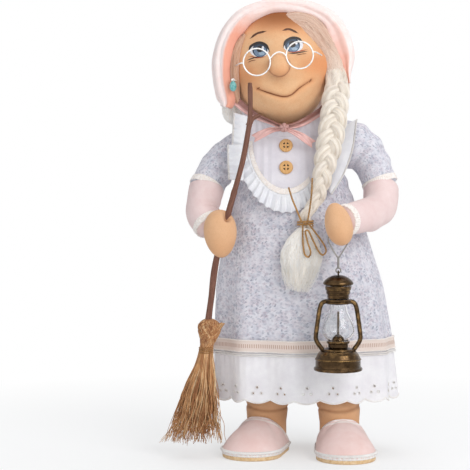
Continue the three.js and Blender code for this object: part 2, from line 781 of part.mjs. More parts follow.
function sleeveRadius(t) {
  return SLEEVE_RADIUS * (0.86 + 0.16 * Math.sin(Math.PI * Math.min(0.15 + t, 1) * 0.9));
}

function sleeveForm({ sleeve }, grow = 0) {
  return sweep(sleeve, 6, 12, Y_AXIS, (t) => [sleeveRadius(t) + grow, sleeveRadius(t) + grow], grow);
}

function forearmRadius(t) {
  return FOREARM_RADIUS * (0.9 + 0.14 * Math.sin(Math.PI * t) - 0.06 * t);
}

function forearmForm({ forearm }, grow = 0) {
  const sizeAt = (t) => [forearmRadius(t) + grow, forearmRadius(t) + grow];
  return sweep(forearm, 6, 12, Y_AXIS, sizeAt, Math.min(grow, GAP));
}

function handForm({ hand, handSize }, grow = 0) {
  return ellipsoid(hand, handSize, grow, 12, 9);
}

function cuffLace({ sleeve }) {
  const start = 1 - CUFF_LACE_WIDTH / sleeve.getLength();
  return collar(sleeve, start, 1, 12, Y_AXIS, sleeveRadius, CUFF_LACE_CLOTH);
}

function wristTrim({ forearm }) {
  const start = 1 - WRIST_TRIM_WIDTH / forearm.getLength();
  return collar(forearm, start, 1, 12, Y_AXIS, forearmRadius, WRIST_TRIM_CLOTH);
}

// Broom: a crooked twig through the right hand, with folded tuft, binding and bristles
const STICK_PATH = curveThrough(
  [-29.4, -56, 327], [-29.6, -55, 297], [-35.4, -53, 261], [-44.9, -50, 226.2], [-57.9, -45, 177.4],
  [-63.2, -40, 139], [-66.3, -38, 116], [-67, -37.5, 108],
);
const STUB_PATH = curveThrough([-29.8, -55, 301], [-26, -55.4, 301], [-20.8, -56, 299.5]);
const BROOM_TIE = new THREE.Vector3(-67.7, -36, 94);
const BRISTLE_BASE = new THREE.Vector3(-80.9, -32, 17);

function stickRadius(t) {
  return STICK_RADIUS * mix(0.78, 1.12, t) * (1 + 0.06 * Math.cos(25 * t));
}

function stickForm(grow = 0) {
  const stick = sweep(STICK_PATH, 18, 8, X_AXIS, (t) => [stickRadius(t) + grow, stickRadius(t) + grow]);
  const stub = sweep(STUB_PATH, 2, 6, Y_AXIS, (t) => {
    const radius = mix(STICK_RADIUS * 0.7, STICK_RADIUS * 0.45, t) + grow;
    return [radius, radius];
  });
  return stick.add(stub);
}

function tuftForm() {
  const foot = BROOM_TIE.clone();
  foot.z += (THREAD_TURNS * THREAD_PITCH) / 2 + 4 * GAP;
  const path = curveThrough([-66.2, -38, 121], [-66.8, -37.2, 110], foot.toArray());
  return sweep(path, 6, 10, X_AXIS, (t) => {
    const swell = (TUFT_RADIUS - BROOM_WAIST) * Math.sin(Math.PI * t);
    const radius = mix(STICK_RADIUS + 1.6, BROOM_WAIST, t) + swell;
    return [radius, radius * 0.9];
  });
}

// Strands fan out from the bound bundle as spikes of its end face; each keeps its place, so none cross
function bristleForm() {
  const half = (THREAD_TURNS * THREAD_PITCH) / 2;
  const top = BROOM_TIE.clone().setZ(BROOM_TIE.z + half);
  const root = BROOM_TIE.clone().setZ(BROOM_TIE.z - half);
  const drop = root.z - BRISTLE_BASE.z;
  const fanPoint = (ringStep, turn, share) => {
    const angle = (2 * Math.PI * turn) / (6 * Math.max(ringStep, 1));
    const spoke = new THREE.Vector3(Math.cos(angle), Math.sin(angle), 0);
    spoke.multiplyScalar(ringStep / BRISTLE_RINGS);
    const near = spoke.clone().multiplyScalar(BROOM_WAIST).add(root);
    const far = spoke.multiply(new THREE.Vector3(BRISTLE_FAN.x, BRISTLE_FAN.y, 0)).add(BRISTLE_BASE);
    return near.lerp(far, share);
  };
  const points = [];
  const triangles = [];
  const add = (point) => points.push(point) - 1;
  const face = (ringStep, turn) => add(fanPoint(ringStep, turn, BUNDLE_LENGTH / drop));
  const spike = (corners) => {
    const foot = new THREE.Vector3();
    corners.forEach((index) => foot.addScaledVector(points[index], 1 / corners.length));
    const wander = Math.cos(7 * points.length) * Math.sin(3 * points.length);
    const reach = foot.clone().sub(root).setZ(0).length() / (BROOM_WAIST * 2);
    const length = (drop * (1 + 0.05 * wander - 0.07 * reach) - BUNDLE_LENGTH) / BUNDLE_LENGTH;
    const hub = bundleCore(foot, root, drop);
    const tip = add(foot.clone().addScaledVector(foot.clone().sub(hub), length));
    corners.forEach((corner, i) => triangles.push([corner, corners[(i + 1) % 3], tip]));
  };
  for (let row = 1; row <= BRISTLE_RINGS; row += 1) {
    for (let sextant = 0; sextant < 6; sextant += 1) {
      for (let i = 0; i < row; i += 1) {
        const [outer, inner] = [sextant * row + i, sextant * (row - 1) + i];
        spike([face(row, outer + 1), face(row, outer), face(row - 1, inner)]);
        if (i < row - 1) {
          triangles.push([face(row - 1, inner + 1), face(row, outer + 1), face(row - 1, inner)]);
        }
      }
    }
  }
  const edge = 6 * BRISTLE_RINGS;
  const hub = add(top);
  for (let turn = 0; turn < edge; turn += 1) {
    const rows = [turn, turn + 1].map((place) => [
      add(fanPoint(BRISTLE_RINGS, place, 0).add(new THREE.Vector3(0, 0, 2 * half))),
      add(fanPoint(BRISTLE_RINGS, place, 0)),
      face(BRISTLE_RINGS, place),
    ]);
    const [[a, b, c], [d, e, f]] = rows;
    triangles.push([hub, a, d], [a, b, e], [a, e, d], [b, c, f], [b, f, e]);
  }
  return solidFrom(points, triangles);
}

// The place at the bundle's top from which a strand at this foot sets out
function bundleCore(foot, root, drop) {
  const share = BUNDLE_LENGTH / drop;
  const middle = root.clone().lerp(BRISTLE_BASE, share);
  const shrink = (reach) => BROOM_WAIST / mix(BROOM_WAIST, reach, share);
  const out = foot.clone().sub(middle);
  return new THREE.Vector3(out.x * shrink(BRISTLE_FAN.x), out.y * shrink(BRISTLE_FAN.y), 0).add(root);
}

// Lantern pieces stand on one axis, each on the one below
const LANTERN = new THREE.Vector3(LEFT_HAND.x, LEFT_HAND.y, LANTERN_BASE);
const BURNER_FOOT = TANK_HEIGHT + GAP;
const GLASS_FOOT = BURNER_FOOT + BURNER_HEIGHT + GAP;
const RING_FOOT = GLASS_FOOT + GLASS_HEIGHT + GAP;
const CHIMNEY_FOOT = RING_FOOT + CROWN_RING_HEIGHT + GAP;
const CAP_FOOT = CHIMNEY_FOOT + CHIMNEY_HEIGHT + GAP;

function tankForm(grow = 0) {
  const r = TANK_RADIUS + grow;
  const h = TANK_HEIGHT;
  return turned([
    [0, -grow], [r, -grow], [r, 2.6 + grow], [r - 1.5, 3.4 + grow], [r - 1.5, h * 0.5], [r - 3.6, h * 0.74],
    [r - 8, h * 0.93 + grow], [r - 11.4, h + grow], [0, h + grow],
  ], LANTERN, 18);
}

function burnerForm() {
  const r = BURNER_RADIUS;
  const top = BURNER_FOOT + BURNER_HEIGHT;
  const wickTop = GLASS_FOOT + 0.8 * GLASS_HEIGHT;
  return turned([
    [0, BURNER_FOOT], [r - 1.2, BURNER_FOOT], [r - 1.2, top - 2.2], [r, top - 1.7], [r, top],
    [GLASS_NECK - GLASS_WALL - GAP, top], [4.4, top + 3.6], [2, top + 5.6], [0.9, top + 5.8], [0.9, wickTop],
    [0, wickTop],
  ], LANTERN, 12);
}

function glassForm() {
  const outer = [[GLASS_NECK + 1.2, 0], [GLASS_BELLY - 1.2, 5], [GLASS_BELLY, 9.5], [GLASS_BELLY - 1.6, 16],
    [GLASS_NECK + 1.4, 24.5], [GLASS_NECK, GLASS_HEIGHT]];
  const inner = outer.map(([r, z]) => [r - GLASS_WALL, z]).reverse();
  const profile = [...outer, ...inner, outer[0]].map(([r, z]) => [r, z + GLASS_FOOT]);
  return turned(profile, LANTERN, 14);
}

function frameForm() {
  const top = RING_FOOT + CROWN_RING_HEIGHT;
  const bore = GLASS_NECK - GLASS_WALL;
  const edge = CROWN_RING_RADIUS;
  const section = [[bore, RING_FOOT], [edge, RING_FOOT], [edge, top], [bore, top], [bore, RING_FOOT]];
  const band = turned(section, LANTERN, 20);
  const tubes = [-1, 1].map((side) => {
    const place = (r, z) => [LANTERN.x + side * r, LANTERN.y, LANTERN.z + z];
    const path = curveThrough(
      place(edge - 1, top - SIDE_TUBE_RADIUS), place(edge + 2.5, top - 6),
      place(SIDE_TUBE_REACH - 1, 42), place(SIDE_TUBE_REACH, 31),
      place(SIDE_TUBE_REACH - 2.6, 23), place(TANK_RADIUS - 8.6, TANK_HEIGHT * 0.8),
    );
    return sweep(path, 8, 6, Y_AXIS, () => [SIDE_TUBE_RADIUS, SIDE_TUBE_RADIUS]);
  });
  const inside = [[0, RING_FOOT - 1], [bore, RING_FOOT - 1], [bore, top + 1], [0, top + 1]];
  const clear = turned(inside, LANTERN, 20);
  return cutBy(band.add(tubes[0]).add(tubes[1]), tankForm(GAP), clear);
}

function chimneyForm() {
  const profile = [[0, CHIMNEY_FOOT]];
  const step = CHIMNEY_HEIGHT / CHIMNEY_RIBS;
  for (let rib = 0; rib < CHIMNEY_RIBS; rib += 1) {
    const foot = CHIMNEY_FOOT + rib * step;
    const radius = CHIMNEY_RADIUS + CHIMNEY_STEP * rib;
    profile.push([radius, foot], [radius, foot + step * 0.6], [radius - 0.9, foot + step * 0.75]);
    profile.push([radius - 0.9, foot + step]);
  }
  profile.push([0, CHIMNEY_FOOT + CHIMNEY_HEIGHT]);
  return turned(profile, LANTERN, 12);
}

const LUG = LANTERN.clone();
LUG.z += CAP_FOOT + CAP_HEIGHT + LINK_RADIUS - BAIL_WIRE;
const EYE = LUG.clone();
EYE.z += 2 * LINK_RADIUS - 2 * BAIL_WIRE - GAP;

function capForm() {
  const brimTop = CAP_FOOT + CAP_BRIM;
  const edgeTop = CAP_FOOT + CAP_BRIM * 0.4;
  const dome = [[0, CAP_FOOT], [CAP_RADIUS, CAP_FOOT], [CAP_RADIUS, edgeTop], [CHIMNEY_RADIUS, brimTop]];
  for (let step = 1; step < 5; step += 1) {
    const angle = (Math.PI / 2) * (step / 5);
    const rise = (CAP_HEIGHT - CAP_BRIM) * Math.sin(angle);
    dome.push([(CHIMNEY_RADIUS - 1) * Math.cos(angle), brimTop + rise]);
  }
  dome.push([0, CAP_FOOT + CAP_HEIGHT]);
  const lug = ring(LUG, LINK_RADIUS, BAIL_WIRE, new THREE.Euler(0, Math.PI / 2, 0));
  return turned(dome, LANTERN, 14).add(lug);
}

// Bail: runs through the hand, its two legs twist together and end in an eye round the cap's lug
const BAIL_AXIS = new THREE.Vector3(LEFT_HAND.x, LEFT_HAND.y, LEFT_HAND.z - BAIL_DEPTH);

function bailForm() {
  const place = (x, z) => [BAIL_AXIS.x + x, BAIL_AXIS.y, BAIL_AXIS.z + z];
  const loop = curveThrough(
    place(-0.2, -TWIST_DROP), place(-BAIL_HALF_SPAN * 0.8, -4), place(-BAIL_HALF_SPAN, -1.2),
    place(-BAIL_HALF_SPAN + 1.2, 0), place(0, 0), place(BAIL_HALF_SPAN - 1.2, 0), place(BAIL_HALF_SPAN, -1.2),
    place(BAIL_HALF_SPAN * 0.8, -4), place(0.2, -TWIST_DROP),
  );
  const stem = new THREE.LineCurve3(
    new THREE.Vector3(...place(0, 1 - TWIST_DROP)),
    EYE.clone().add(new THREE.Vector3(0, 0, LINK_RADIUS)),
  );
  const round = () => [BAIL_WIRE, BAIL_WIRE];
  const legs = sweep(loop, 26, 5, Y_AXIS, round);
  const twist = sweep(stem, 1, 6, Y_AXIS, () => [BAIL_WIRE * 1.4, BAIL_WIRE * 1.4]);
  const eye = ring(EYE, LINK_RADIUS, BAIL_WIRE, new THREE.Euler(Math.PI / 2, 0, 0));
  return legs.add(twist).add(eye);
}

function bailTunnel() {
  const line = new THREE.LineCurve3(
    BAIL_AXIS.clone().setX(BAIL_AXIS.x - FAR / 10),
    BAIL_AXIS.clone().setX(BAIL_AXIS.x + FAR / 10),
  );
  const radius = BAIL_WIRE + 2 * GAP;
  return sweep(line, 1, 10, Y_AXIS, () => [radius, radius]);
}

// Spectacles: two rings, a bridge over the nose and two temples, bent from one wire
function spectacles() {
  const half = LENS_SPACING / 2;
  const inner = half - LENS_RADIUS;
  const seat = Math.sqrt(1 - (inner / (NOSE_SIZE.x + GAP + SPECTACLE_WIRE)) ** 2);
  const plane = NOSE.y - NOSE_SIZE.y * seat - SPECTACLE_GAP;
  const middle = new THREE.Vector3(HEAD.x - 4, plane, HEAD.z + 6);
  const across = new THREE.Vector3(Math.cos(LENS_ROLL), 0, Math.sin(LENS_ROLL));
  const along = (distance, rise = 0, back = 0) => {
    const point = middle.clone().addScaledVector(across, distance);
    return point.add(new THREE.Vector3(0, back, rise)).toArray();
  };
  const upright = new THREE.Euler(Math.PI / 2, 0, 0);
  const rings = [-half, half].map((distance) => (
    ring(new THREE.Vector3(...along(distance)), LENS_RADIUS, SPECTACLE_WIRE, upright, 18, 4)
  ));
  const bridge = curveThrough(
    along(-inner, 1), along(-inner * 0.6, 4), along(0, 5.5), along(inner * 0.6, 4), along(inner, 1),
  );
  const outer = half + LENS_RADIUS;
  const temples = [
    curveThrough(along(-outer, 1), along(-outer - 3, 1.5, 4), along(-outer - 6.5, 2, 23.5)),
    curveThrough(along(outer, 1), along(outer + 3, 0.5, 4), along(outer + 8.5, -2, 15.5)),
  ];
  const wires = [bridge, ...temples].map((curve) => (
    sweep(curve, 5, 4, new THREE.Vector3(0, 0.2, 1), () => [SPECTACLE_WIRE, SPECTACLE_WIRE])
  ));
  return [rings[1], ...wires].reduce((all, next) => all.add(next), rings[0]);
}

// Earring: a bead hung by a small ring on a pin in the head
const PIN_WAY = new THREE.Vector3(-0.5, -0.87, 0).normalize();

function earringPin() {
  const root = EARRING.clone().addScaledVector(PIN_WAY, -18);
  const tip = EARRING.clone().addScaledVector(PIN_WAY, 1.6);
  const line = new THREE.LineCurve3(root, tip);
  const pin = sweep(line, 1, 8, new THREE.Vector3(0, 0, 1), () => [EARRING_PIN, EARRING_PIN]);
  return pin.add(ellipsoid(tip, new THREE.Vector3(1, 1, 1), 0, 6, 5));
}

function earringBead() {
  const loop = 1.3;
  const tube = 0.4;
  const turn = new THREE.Euler(0, Math.PI / 2, Math.atan2(PIN_WAY.y, PIN_WAY.x), 'ZYX');
  const centre = EARRING.clone();
  centre.z -= loop - tube - EARRING_PIN - GAP;
  const body = centre.clone();
  body.z -= loop + EARRING_BEAD.z - 0.6;
  return ring(centre, loop, tube, turn, 10, 5).add(ellipsoid(body, EARRING_BEAD, 0, 10, 8));
}

// Chin ribbon: a flat strap under the chin, knotted in front with two tails
const STRAP_PATH = curveThrough(
  [-46, -19, 317], [-27, -21, 302], [-11, -33, 294], [0.5, -37, 290], [15, -33, 293], [32, -23, 303],
  [38, -24, 308],
);
const KNOT = new THREE.Vector3(0.5, -42, 289);
const KNOT_SIZE = new THREE.Vector3(6, 4, 5);

function strapForm(grow = 0) {
  return sweep(STRAP_PATH, 12, 6, new THREE.Vector3(0, -0.3, 1), () => [5 + grow, 0.8 + grow]);
}

function ribbonBow() {
  const tails = [
    curveThrough([-1, -42, 288], [-12, -40, 286], [-25, -37, 282]),
    curveThrough([2, -42, 288], [13, -41, 284], [26, -38, 277]),
  ].map((path) => sweep(path, 4, 6, new THREE.Vector3(0, 0, 1), () => [5, 0.8]));
  return ellipsoid(KNOT, KNOT_SIZE, 0, 9, 7).add(tails[0]).add(tails[1]);
}

// Loose twine: two ends that stand up from the tie and loops that hang from it
const TWINE_ENDS = {
  twine_end_right: curveThrough([15, -57.9, 207.5], [11, -59.5, 217], [7, -58, 227], [4, -54, 237]),
  twine_end_left: curveThrough([20, -58.6, 207.7], [22, -60.5, 220], [23.5, -61, 233], [24, -60, 245]),
};
const TWINE_LOOPS = curveThrough(
  [21.5, -58.1, 205.4], [27, -61, 198], [33.5, -61, 189], [36, -60, 182.5], [33, -60, 179], [29, -61, 183],
  [24, -62.5, 193], [20.5, -63, 200], [18, -63, 199], [20, -63.5, 190], [22.5, -63, 182], [21, -62, 177.5],
  [17.5, -61.5, 180], [16, -61, 191], [16, -58.3, 205],
);

// Assembly, larger pieces first; each smaller soft piece is cut to clear the larger ones
const head = headForm(GAP);
const torso = torsoForm(GAP);
const dress = loft(dressRings(GAP));
const crown = crownForm(GAP);
const brim = brimForm(GAP);
const hair = hairForm(GAP);
const braid = braidForm(GAP);

const dowels = Object.values(FEET).map((foot) => dowelForm(foot, GAP));
addPiece('torso', cutBy(torsoForm(), ...dowels), material('body'));
addPiece('head', cutBy(headForm(), torso), material('skin'));
addPiece('nose', cutBy(ellipsoid(NOSE, NOSE_SIZE, 0, 12, 9), head), material('skin'));
addPiece('bonnet_crown', crownForm(), material('felt'));
addPiece('bonnet_brim', cutBy(brimForm(), head, crown), material('felt'));
addPiece('hair_sweep', cutBy(hairForm(), head, brim, crown), material('hair'));
addPiece('hair_lock', cutBy(
  ellipsoid(LOCK, LOCK_SIZE, 0, 10, 8), head, crown, brim, dress,
), material('hair'));
addPiece('braid', cutBy(braidForm(), hair, head, brim), material('wool'));
addPiece('braid_tail', cutBy(braidTail(), braid), material('wool'));
addPiece('twine_winding', winding(
  'twine_winding', BRAID_TIE, BRAID_TIE_RADIUS, TWINE_RADIUS, TWINE_TURNS, TWINE_PITCH,
), material('jute'));
for (const [name, path] of Object.entries(TWINE_ENDS)) {
  addPiece(name, wire(path, TWINE_RADIUS, 9), material('jute'));
}
addPiece('twine_loops', wire(TWINE_LOOPS, TWINE_RADIUS, 24), material('jute'));

addPiece('dress', dressShell(), material('floral'));
addPiece('hem_ribbon', hemRibbon(), material('peach'));
const flounceLining = flounceRings(-DRESS_CLOTH).reverse();
addPiece('hem_flounce', loft([...flounceRings(0), ...flounceLining], true), material('cotton'));
addPiece('bib', cutBy(bibForm(), dress), material('lilac'));
addPiece('bib_lace', laceForm(), material('lace'));
addPiece('bib_ruffle', cutBy(ruffleForm(), dress), material('cotton'));
BUTTON_HEIGHTS.forEach((height, index) => {
  addPiece(['button_upper', 'button_lower'][index], button(height), material('wood', 0.6));
});
addPiece('shoulder_flounce_left', cutBy(shoulderFlounce(...LEFT_FLOUNCE, 0, 2), dress), material('lilac'));
addPiece('shoulder_flounce_right', shoulderFlounce(...RIGHT_FLOUNCE, 2, 1), material('lilac'));
addPiece('ribbon_band', cutBy(strapForm(), head, brim, crown, braid, hair), material('satin', 0.5));
addPiece('ribbon_bow', cutBy(ribbonBow(), strapForm(GAP), head), material('satin', 0.5));

for (const [side, arm] of Object.entries(ARMS)) {
  const bore = side === 'right' ? stickForm(STICK_CLEARANCE) : bailTunnel();
  addPiece(`sleeve_${side}`, cutBy(sleeveForm(arm), dress), material('floral'));
  addPiece(`elbow_lace_${side}`, cutBy(cuffLace(arm), forearmForm(arm, GAP)), material('lace'));
  addPiece(`forearm_${side}`, cutBy(forearmForm(arm), sleeveForm(arm, GAP)), material('rose'));
  addPiece(`wrist_trim_${side}`, wristTrim(arm), material('cotton'));
  const cuff = forearmForm(arm, 2 * GAP + WRIST_TRIM_CLOTH);
  addPiece(`hand_${side}`, cutBy(handForm(arm), cuff, bore), material('skin'));
}

for (const [side, foot] of Object.entries(FEET)) {
  const sole = loft([footRing(foot, 0, 0), footRing(foot, 0, SOLE_THICKNESS)]);
  addPiece(`leg_${side}`, cutBy(legForm(foot), torso, dowelForm(foot, GAP)), material('skin'));
  addPiece(`leg_dowel_${side}`, dowelForm(foot), material('wood', 0.7));
  addPiece(`slipper_sole_${side}`, sole, material('cork'));
  addPiece(`slipper_upper_${side}`, slipperUpper(foot), material('rose'));
  addPiece(`slipper_piping_${side}`, slipperBinding(foot), material('felt'));
}

addPiece('broom_stick', stickForm(), material('twig', 0.85));
addPiece('broom_tuft', cutBy(tuftForm(), stickForm(GAP)), material('straw', 0.9));
addPiece('broom_binding', winding(
  'broom_binding', BROOM_TIE, BROOM_WAIST, THREAD_RADIUS, THREAD_TURNS, THREAD_PITCH,
), material('thread'));
addPiece('broom_bristles', bristleForm(), material('straw', 0.9));

addPiece('lantern_tank', tankForm(), material('bronze', 0.45, 0.8));
addPiece('lantern_burner', burnerForm(), material('bronze', 0.45, 0.8));
addPiece('lantern_glass', glassForm(), material('glass', 0.1));
addPiece('lantern_frame', frameForm(), material('bronze', 0.45, 0.8));
addPiece('lantern_chimney', chimneyForm(), material('bronze', 0.45, 0.8));
addPiece('lantern_cap', capForm(), material('bronze', 0.45, 0.8));
addPiece('lantern_bail', bailForm(), material('wire', 0.4, 0.9));

addPiece('spectacles', spectacles(), material('wire', 0.3, 0.9));
addPiece('earring_pin', cutBy(earringPin(), head), material('pin', 0.4, 0.9));
addPiece('earring_bead', earringBead(), material('bead', 0.2));

// The origin is under the middle of the doll's box, on the floor; loose twine doesn't count
const box = new THREE.Box3();
for (const piece of doll.children.filter(({ name }) => !/^twine_(end|loops)/.test(name))) {
  box.expandByObject(piece);
}
const middle = box.getCenter(new THREE.Vector3());
doll.position.set(-middle.x, -middle.y, -box.min.z);

export default doll;
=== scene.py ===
# Befana doll: the looks of a standing stuffed doll with bonnet, braid, dress, broom and lantern.
# Shapes are written in millimetres in the drawing frame of the CAD source, and placed in metres.
import math

import bpy
import numpy as np
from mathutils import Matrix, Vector
from mathutils.bvhtree import BVHTree


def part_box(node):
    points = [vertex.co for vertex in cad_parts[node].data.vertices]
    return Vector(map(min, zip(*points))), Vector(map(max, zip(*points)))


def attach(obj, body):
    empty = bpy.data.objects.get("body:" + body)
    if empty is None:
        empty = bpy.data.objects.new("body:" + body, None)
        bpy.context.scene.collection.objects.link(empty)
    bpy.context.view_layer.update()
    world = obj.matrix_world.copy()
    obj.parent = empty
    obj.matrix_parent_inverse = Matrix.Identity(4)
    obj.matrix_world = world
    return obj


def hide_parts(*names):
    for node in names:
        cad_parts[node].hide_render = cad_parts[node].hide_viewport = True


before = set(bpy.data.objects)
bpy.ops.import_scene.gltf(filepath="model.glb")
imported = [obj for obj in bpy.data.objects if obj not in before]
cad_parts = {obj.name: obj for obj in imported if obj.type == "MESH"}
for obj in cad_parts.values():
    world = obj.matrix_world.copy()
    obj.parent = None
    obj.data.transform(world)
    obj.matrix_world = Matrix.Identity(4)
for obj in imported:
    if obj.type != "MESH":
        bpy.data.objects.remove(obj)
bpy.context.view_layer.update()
rng = np.random.default_rng(7)
AXIS_X, AXIS_Y, AXIS_Z = np.eye(3)

# The drawing frame: the lantern's upright axis is known in it, and the frame says where that axis is
LANTERN_AXIS = np.array([45.4, -76.0, 0.0])
tank_low, tank_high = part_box("lantern_tank")
SHIFT = np.array([*(tank_low + tank_high)[:2], 0.0]) * 500 - LANTERN_AXIS


def place(points):
    """Drawing millimetres to metres in the part's frame."""
    return (np.asarray(points, float) + SHIFT) / 1000


# Camera, at the photograph's viewing angle
CAMERA_PLACE = np.array([-42.3, -1300.0, 240.0])
CAMERA_PITCH = math.radians(-2.02)
IMAGE_SIDE = 470
FOCAL_PIXELS = 1444
SENSOR = 36.0

camera = bpy.data.objects.new("camera", bpy.data.cameras.new("camera"))
bpy.context.scene.collection.objects.link(camera)
camera.location = place(CAMERA_PLACE)
camera.rotation_euler = (math.pi / 2 + CAMERA_PITCH, 0, 0)
camera.data.sensor_width = SENSOR
camera.data.lens = SENSOR * FOCAL_PIXELS / IMAGE_SIDE
camera.data.clip_start = 0.05
camera.data.clip_end = 60
bpy.context.scene.camera = camera


def sight(px, py):
    """Direction from the camera through a place in the photograph, in the drawing frame."""
    across = (px - IMAGE_SIDE / 2) / FOCAL_PIXELS
    up = (IMAGE_SIDE / 2 - py) / FOCAL_PIXELS
    cos, sin = math.cos(CAMERA_PITCH), math.sin(CAMERA_PITCH)
    return np.array([across, cos - up * sin, sin + up * cos])


# Curves
def unit(vectors):
    return vectors / np.maximum(np.linalg.norm(vectors, axis=-1, keepdims=True), 1e-12)


def down(count):
    """Shares from 0 to 1, one to a row."""
    return np.linspace(0, 1, count)[:, None]


def rounds(count):
    """Angles evenly spaced round a full turn, one to a column."""
    return np.arange(count)[None] * 2 * math.pi / count


def running(line):
    """The length along a line up to each of its points."""
    steps = np.linalg.norm(np.diff(line, axis=0), axis=1)
    return np.concatenate([[0], np.cumsum(steps)])


def resample(line, count):
    """The line again, with count points evenly spaced along it."""
    along = running(line)
    at = np.linspace(0, along[-1], count)
    return np.stack([np.interp(at, along, values) for values in line.T], axis=1)


def closed(line):
    return np.vstack([line, line[:1]])


def loop(centre, a, b, count):
    """A closed line round a centre, through the offsets a and b from it."""
    turn = np.linspace(0, 2 * math.pi, count)
    return np.asarray(centre, float) + np.outer(np.cos(turn), a) + np.outer(np.sin(turn), b)


def winding(centre, radius, turns, pitch, steps):
    """A coil about an upright axis, half of it above its centre."""
    angle = np.linspace(0, 2 * math.pi * turns, steps)
    rise = pitch * (angle / (2 * math.pi) - turns / 2)
    return centre + np.stack([radius * np.cos(angle), radius * np.sin(angle), rise], axis=1)


CURVE_STEPS = 24


def curve(points, count):
    """A smooth curve through the points, as count points evenly spaced along it."""
    p = np.asarray(points, float)
    if len(p) == 2:
        return resample(p, count)
    p = np.vstack([2 * p[0] - p[1], p, 2 * p[-1] - p[-2]])
    t = np.linspace(0, 1, CURVE_STEPS, endpoint=False)[:, None]
    parts = []
    for a, b, c, d in zip(p, p[1:], p[2:], p[3:]):
        cubic = (3 * (b - c) + d - a) * t**3 + (2 * a - 5 * b + 4 * c - d) * t**2 + (c - a) * t
        parts.append(b + cubic / 2)
    return resample(np.vstack([*parts, p[-2][None]]), count)


def ease(value, low, high):
    t = np.clip((np.asarray(value, float) - low) / (high - low), 0, 1)
    return t * t * (3 - 2 * t)


def mix(a, b, share):
    return a + (b - a) * share


def bell(distance, width):
    return np.exp(-((distance / width) ** 2))


def path_axes(path, side):
    """Directions along a path, to the given side of it and across both, at each of its points."""
    tangent = unit(np.gradient(path, axis=0))
    side = np.asarray(side, float)
    wide = unit(side - (tangent @ side)[:, None] * tangent)
    return tangent, wide, np.cross(tangent, wide)


def swept(path, side, size, angle, grow=1.0):
    """Points round a path: size gives half width to the side and half depth, by share of length and angle."""
    _, wide, deep = path_axes(path, side)
    w, d = size(down(len(path)), angle)
    w, d = w * grow * np.cos(angle), d * grow * np.sin(angle)
    return path[:, None] + wide[:, None] * w[..., None] + deep[:, None] * d[..., None]


def sweep(path, side, sides, size):
    """Rings square to a path."""
    return swept(path, side, size, rounds(sides))


def swept_lines(path, side, size, angle, grow):
    """Strands along a swept form, each with its own angle round it at each place and its own reach."""
    return np.swapaxes(swept(path, side, size, angle, grow), 0, 1)


def even(radius):
    """The size of a round rod."""
    return lambda share, angle: (radius, radius)


# Meshes: faces look away from a place inside the body
INSIDE = np.array([10.0, 0.0, 200.0])


def make_object(name, points, faces, look, uv=None):
    points = np.asarray(points, float)
    mesh = bpy.data.meshes.new(name)
    mesh.from_pydata(place(points).tolist(), [], faces)
    if uv is not None:
        layer = mesh.uv_layers.new(name="UVMap")
        layer.data.foreach_set("uv", np.asarray(uv, np.float32).ravel())
    mesh.polygons.foreach_set("use_smooth", [True] * len(mesh.polygons))
    mesh.materials.append(look)
    mesh.validate()
    corners = np.array([face[:3] for face in faces])
    spread = points[corners] - INSIDE
    if np.einsum("ij,ij->i", spread[:, 0], np.cross(spread[:, 1], spread[:, 2])).sum() < 0:
        mesh.flip_normals()
    piece = bpy.data.objects.new(name, mesh)
    bpy.context.scene.collection.objects.link(piece)
    return piece


def grid_faces(rows, cols, wrap):
    across = cols if wrap else cols - 1
    i, j = np.meshgrid(np.arange(rows - 1), np.arange(across), indexing="ij")
    i, j = i.ravel(), j.ravel()
    k = (j + 1) % cols
    quads = np.stack([i * cols + j, i * cols + k, (i + 1) * cols + k, (i + 1) * cols + j], axis=1)
    corners = np.stack([np.stack([j, i], 1), np.stack([j + 1, i], 1), np.stack([j + 1, i + 1], 1),
                        np.stack([j, i + 1], 1)], axis=1)
    return quads, corners


def grid_object(name, grid, look, wrap=True, caps=True, keep=None):
    """A mesh from rows of points, as a closed tube or an open sheet. Its UV runs in millimetres."""
    rows, cols = grid.shape[:2]
    quads, corners = grid_faces(rows, cols, wrap)
    if keep is not None:
        quads, corners = quads[keep], corners[keep]
    girth = np.linalg.norm(np.diff(grid, axis=1), axis=2).sum(1).mean() / max(cols - 1, 1)
    height = np.linalg.norm(np.diff(grid, axis=0), axis=2).sum(0).mean() / max(rows - 1, 1)
    uv = (corners * [girth, height]).reshape(-1, 2)
    points, faces = grid.reshape(-1, 3), quads.tolist()
    if wrap and caps:
        for row, flip in ((0, True), (rows - 1, False)):
            hub = len(points)
            points = np.vstack([points, grid[row].mean(0)])
            ring = row * cols + np.arange(cols)
            for a, b in zip(ring, np.roll(ring, -1)):
                faces.append([b, a, hub] if flip else [a, b, hub])
            uv = np.vstack([uv, np.zeros((3 * cols, 2))])
    return make_object(name, points, faces, look, uv)


def sheet_object(name, grid, look, thickness, wrap=False, keep=None, offset=-1.0):
    """An open sheet or band with its cloth's thickness in millimetres."""
    piece = grid_object(name, grid, look, wrap, caps=False, keep=keep)
    shell = piece.modifiers.new("cloth", "SOLIDIFY")
    shell.thickness = thickness / 1000
    shell.offset = offset
    shell.use_even_offset = False
    return piece


def paint(piece, name, values):
    """A mask over the piece's points, for its material to read."""
    mask = piece.data.attributes.new(name, "FLOAT", "POINT")
    values = np.asarray(values, float).ravel()
    full = np.zeros(len(piece.data.vertices), np.float32)
    full[:len(values)] = values
    mask.data.foreach_set("value", full)
    return piece


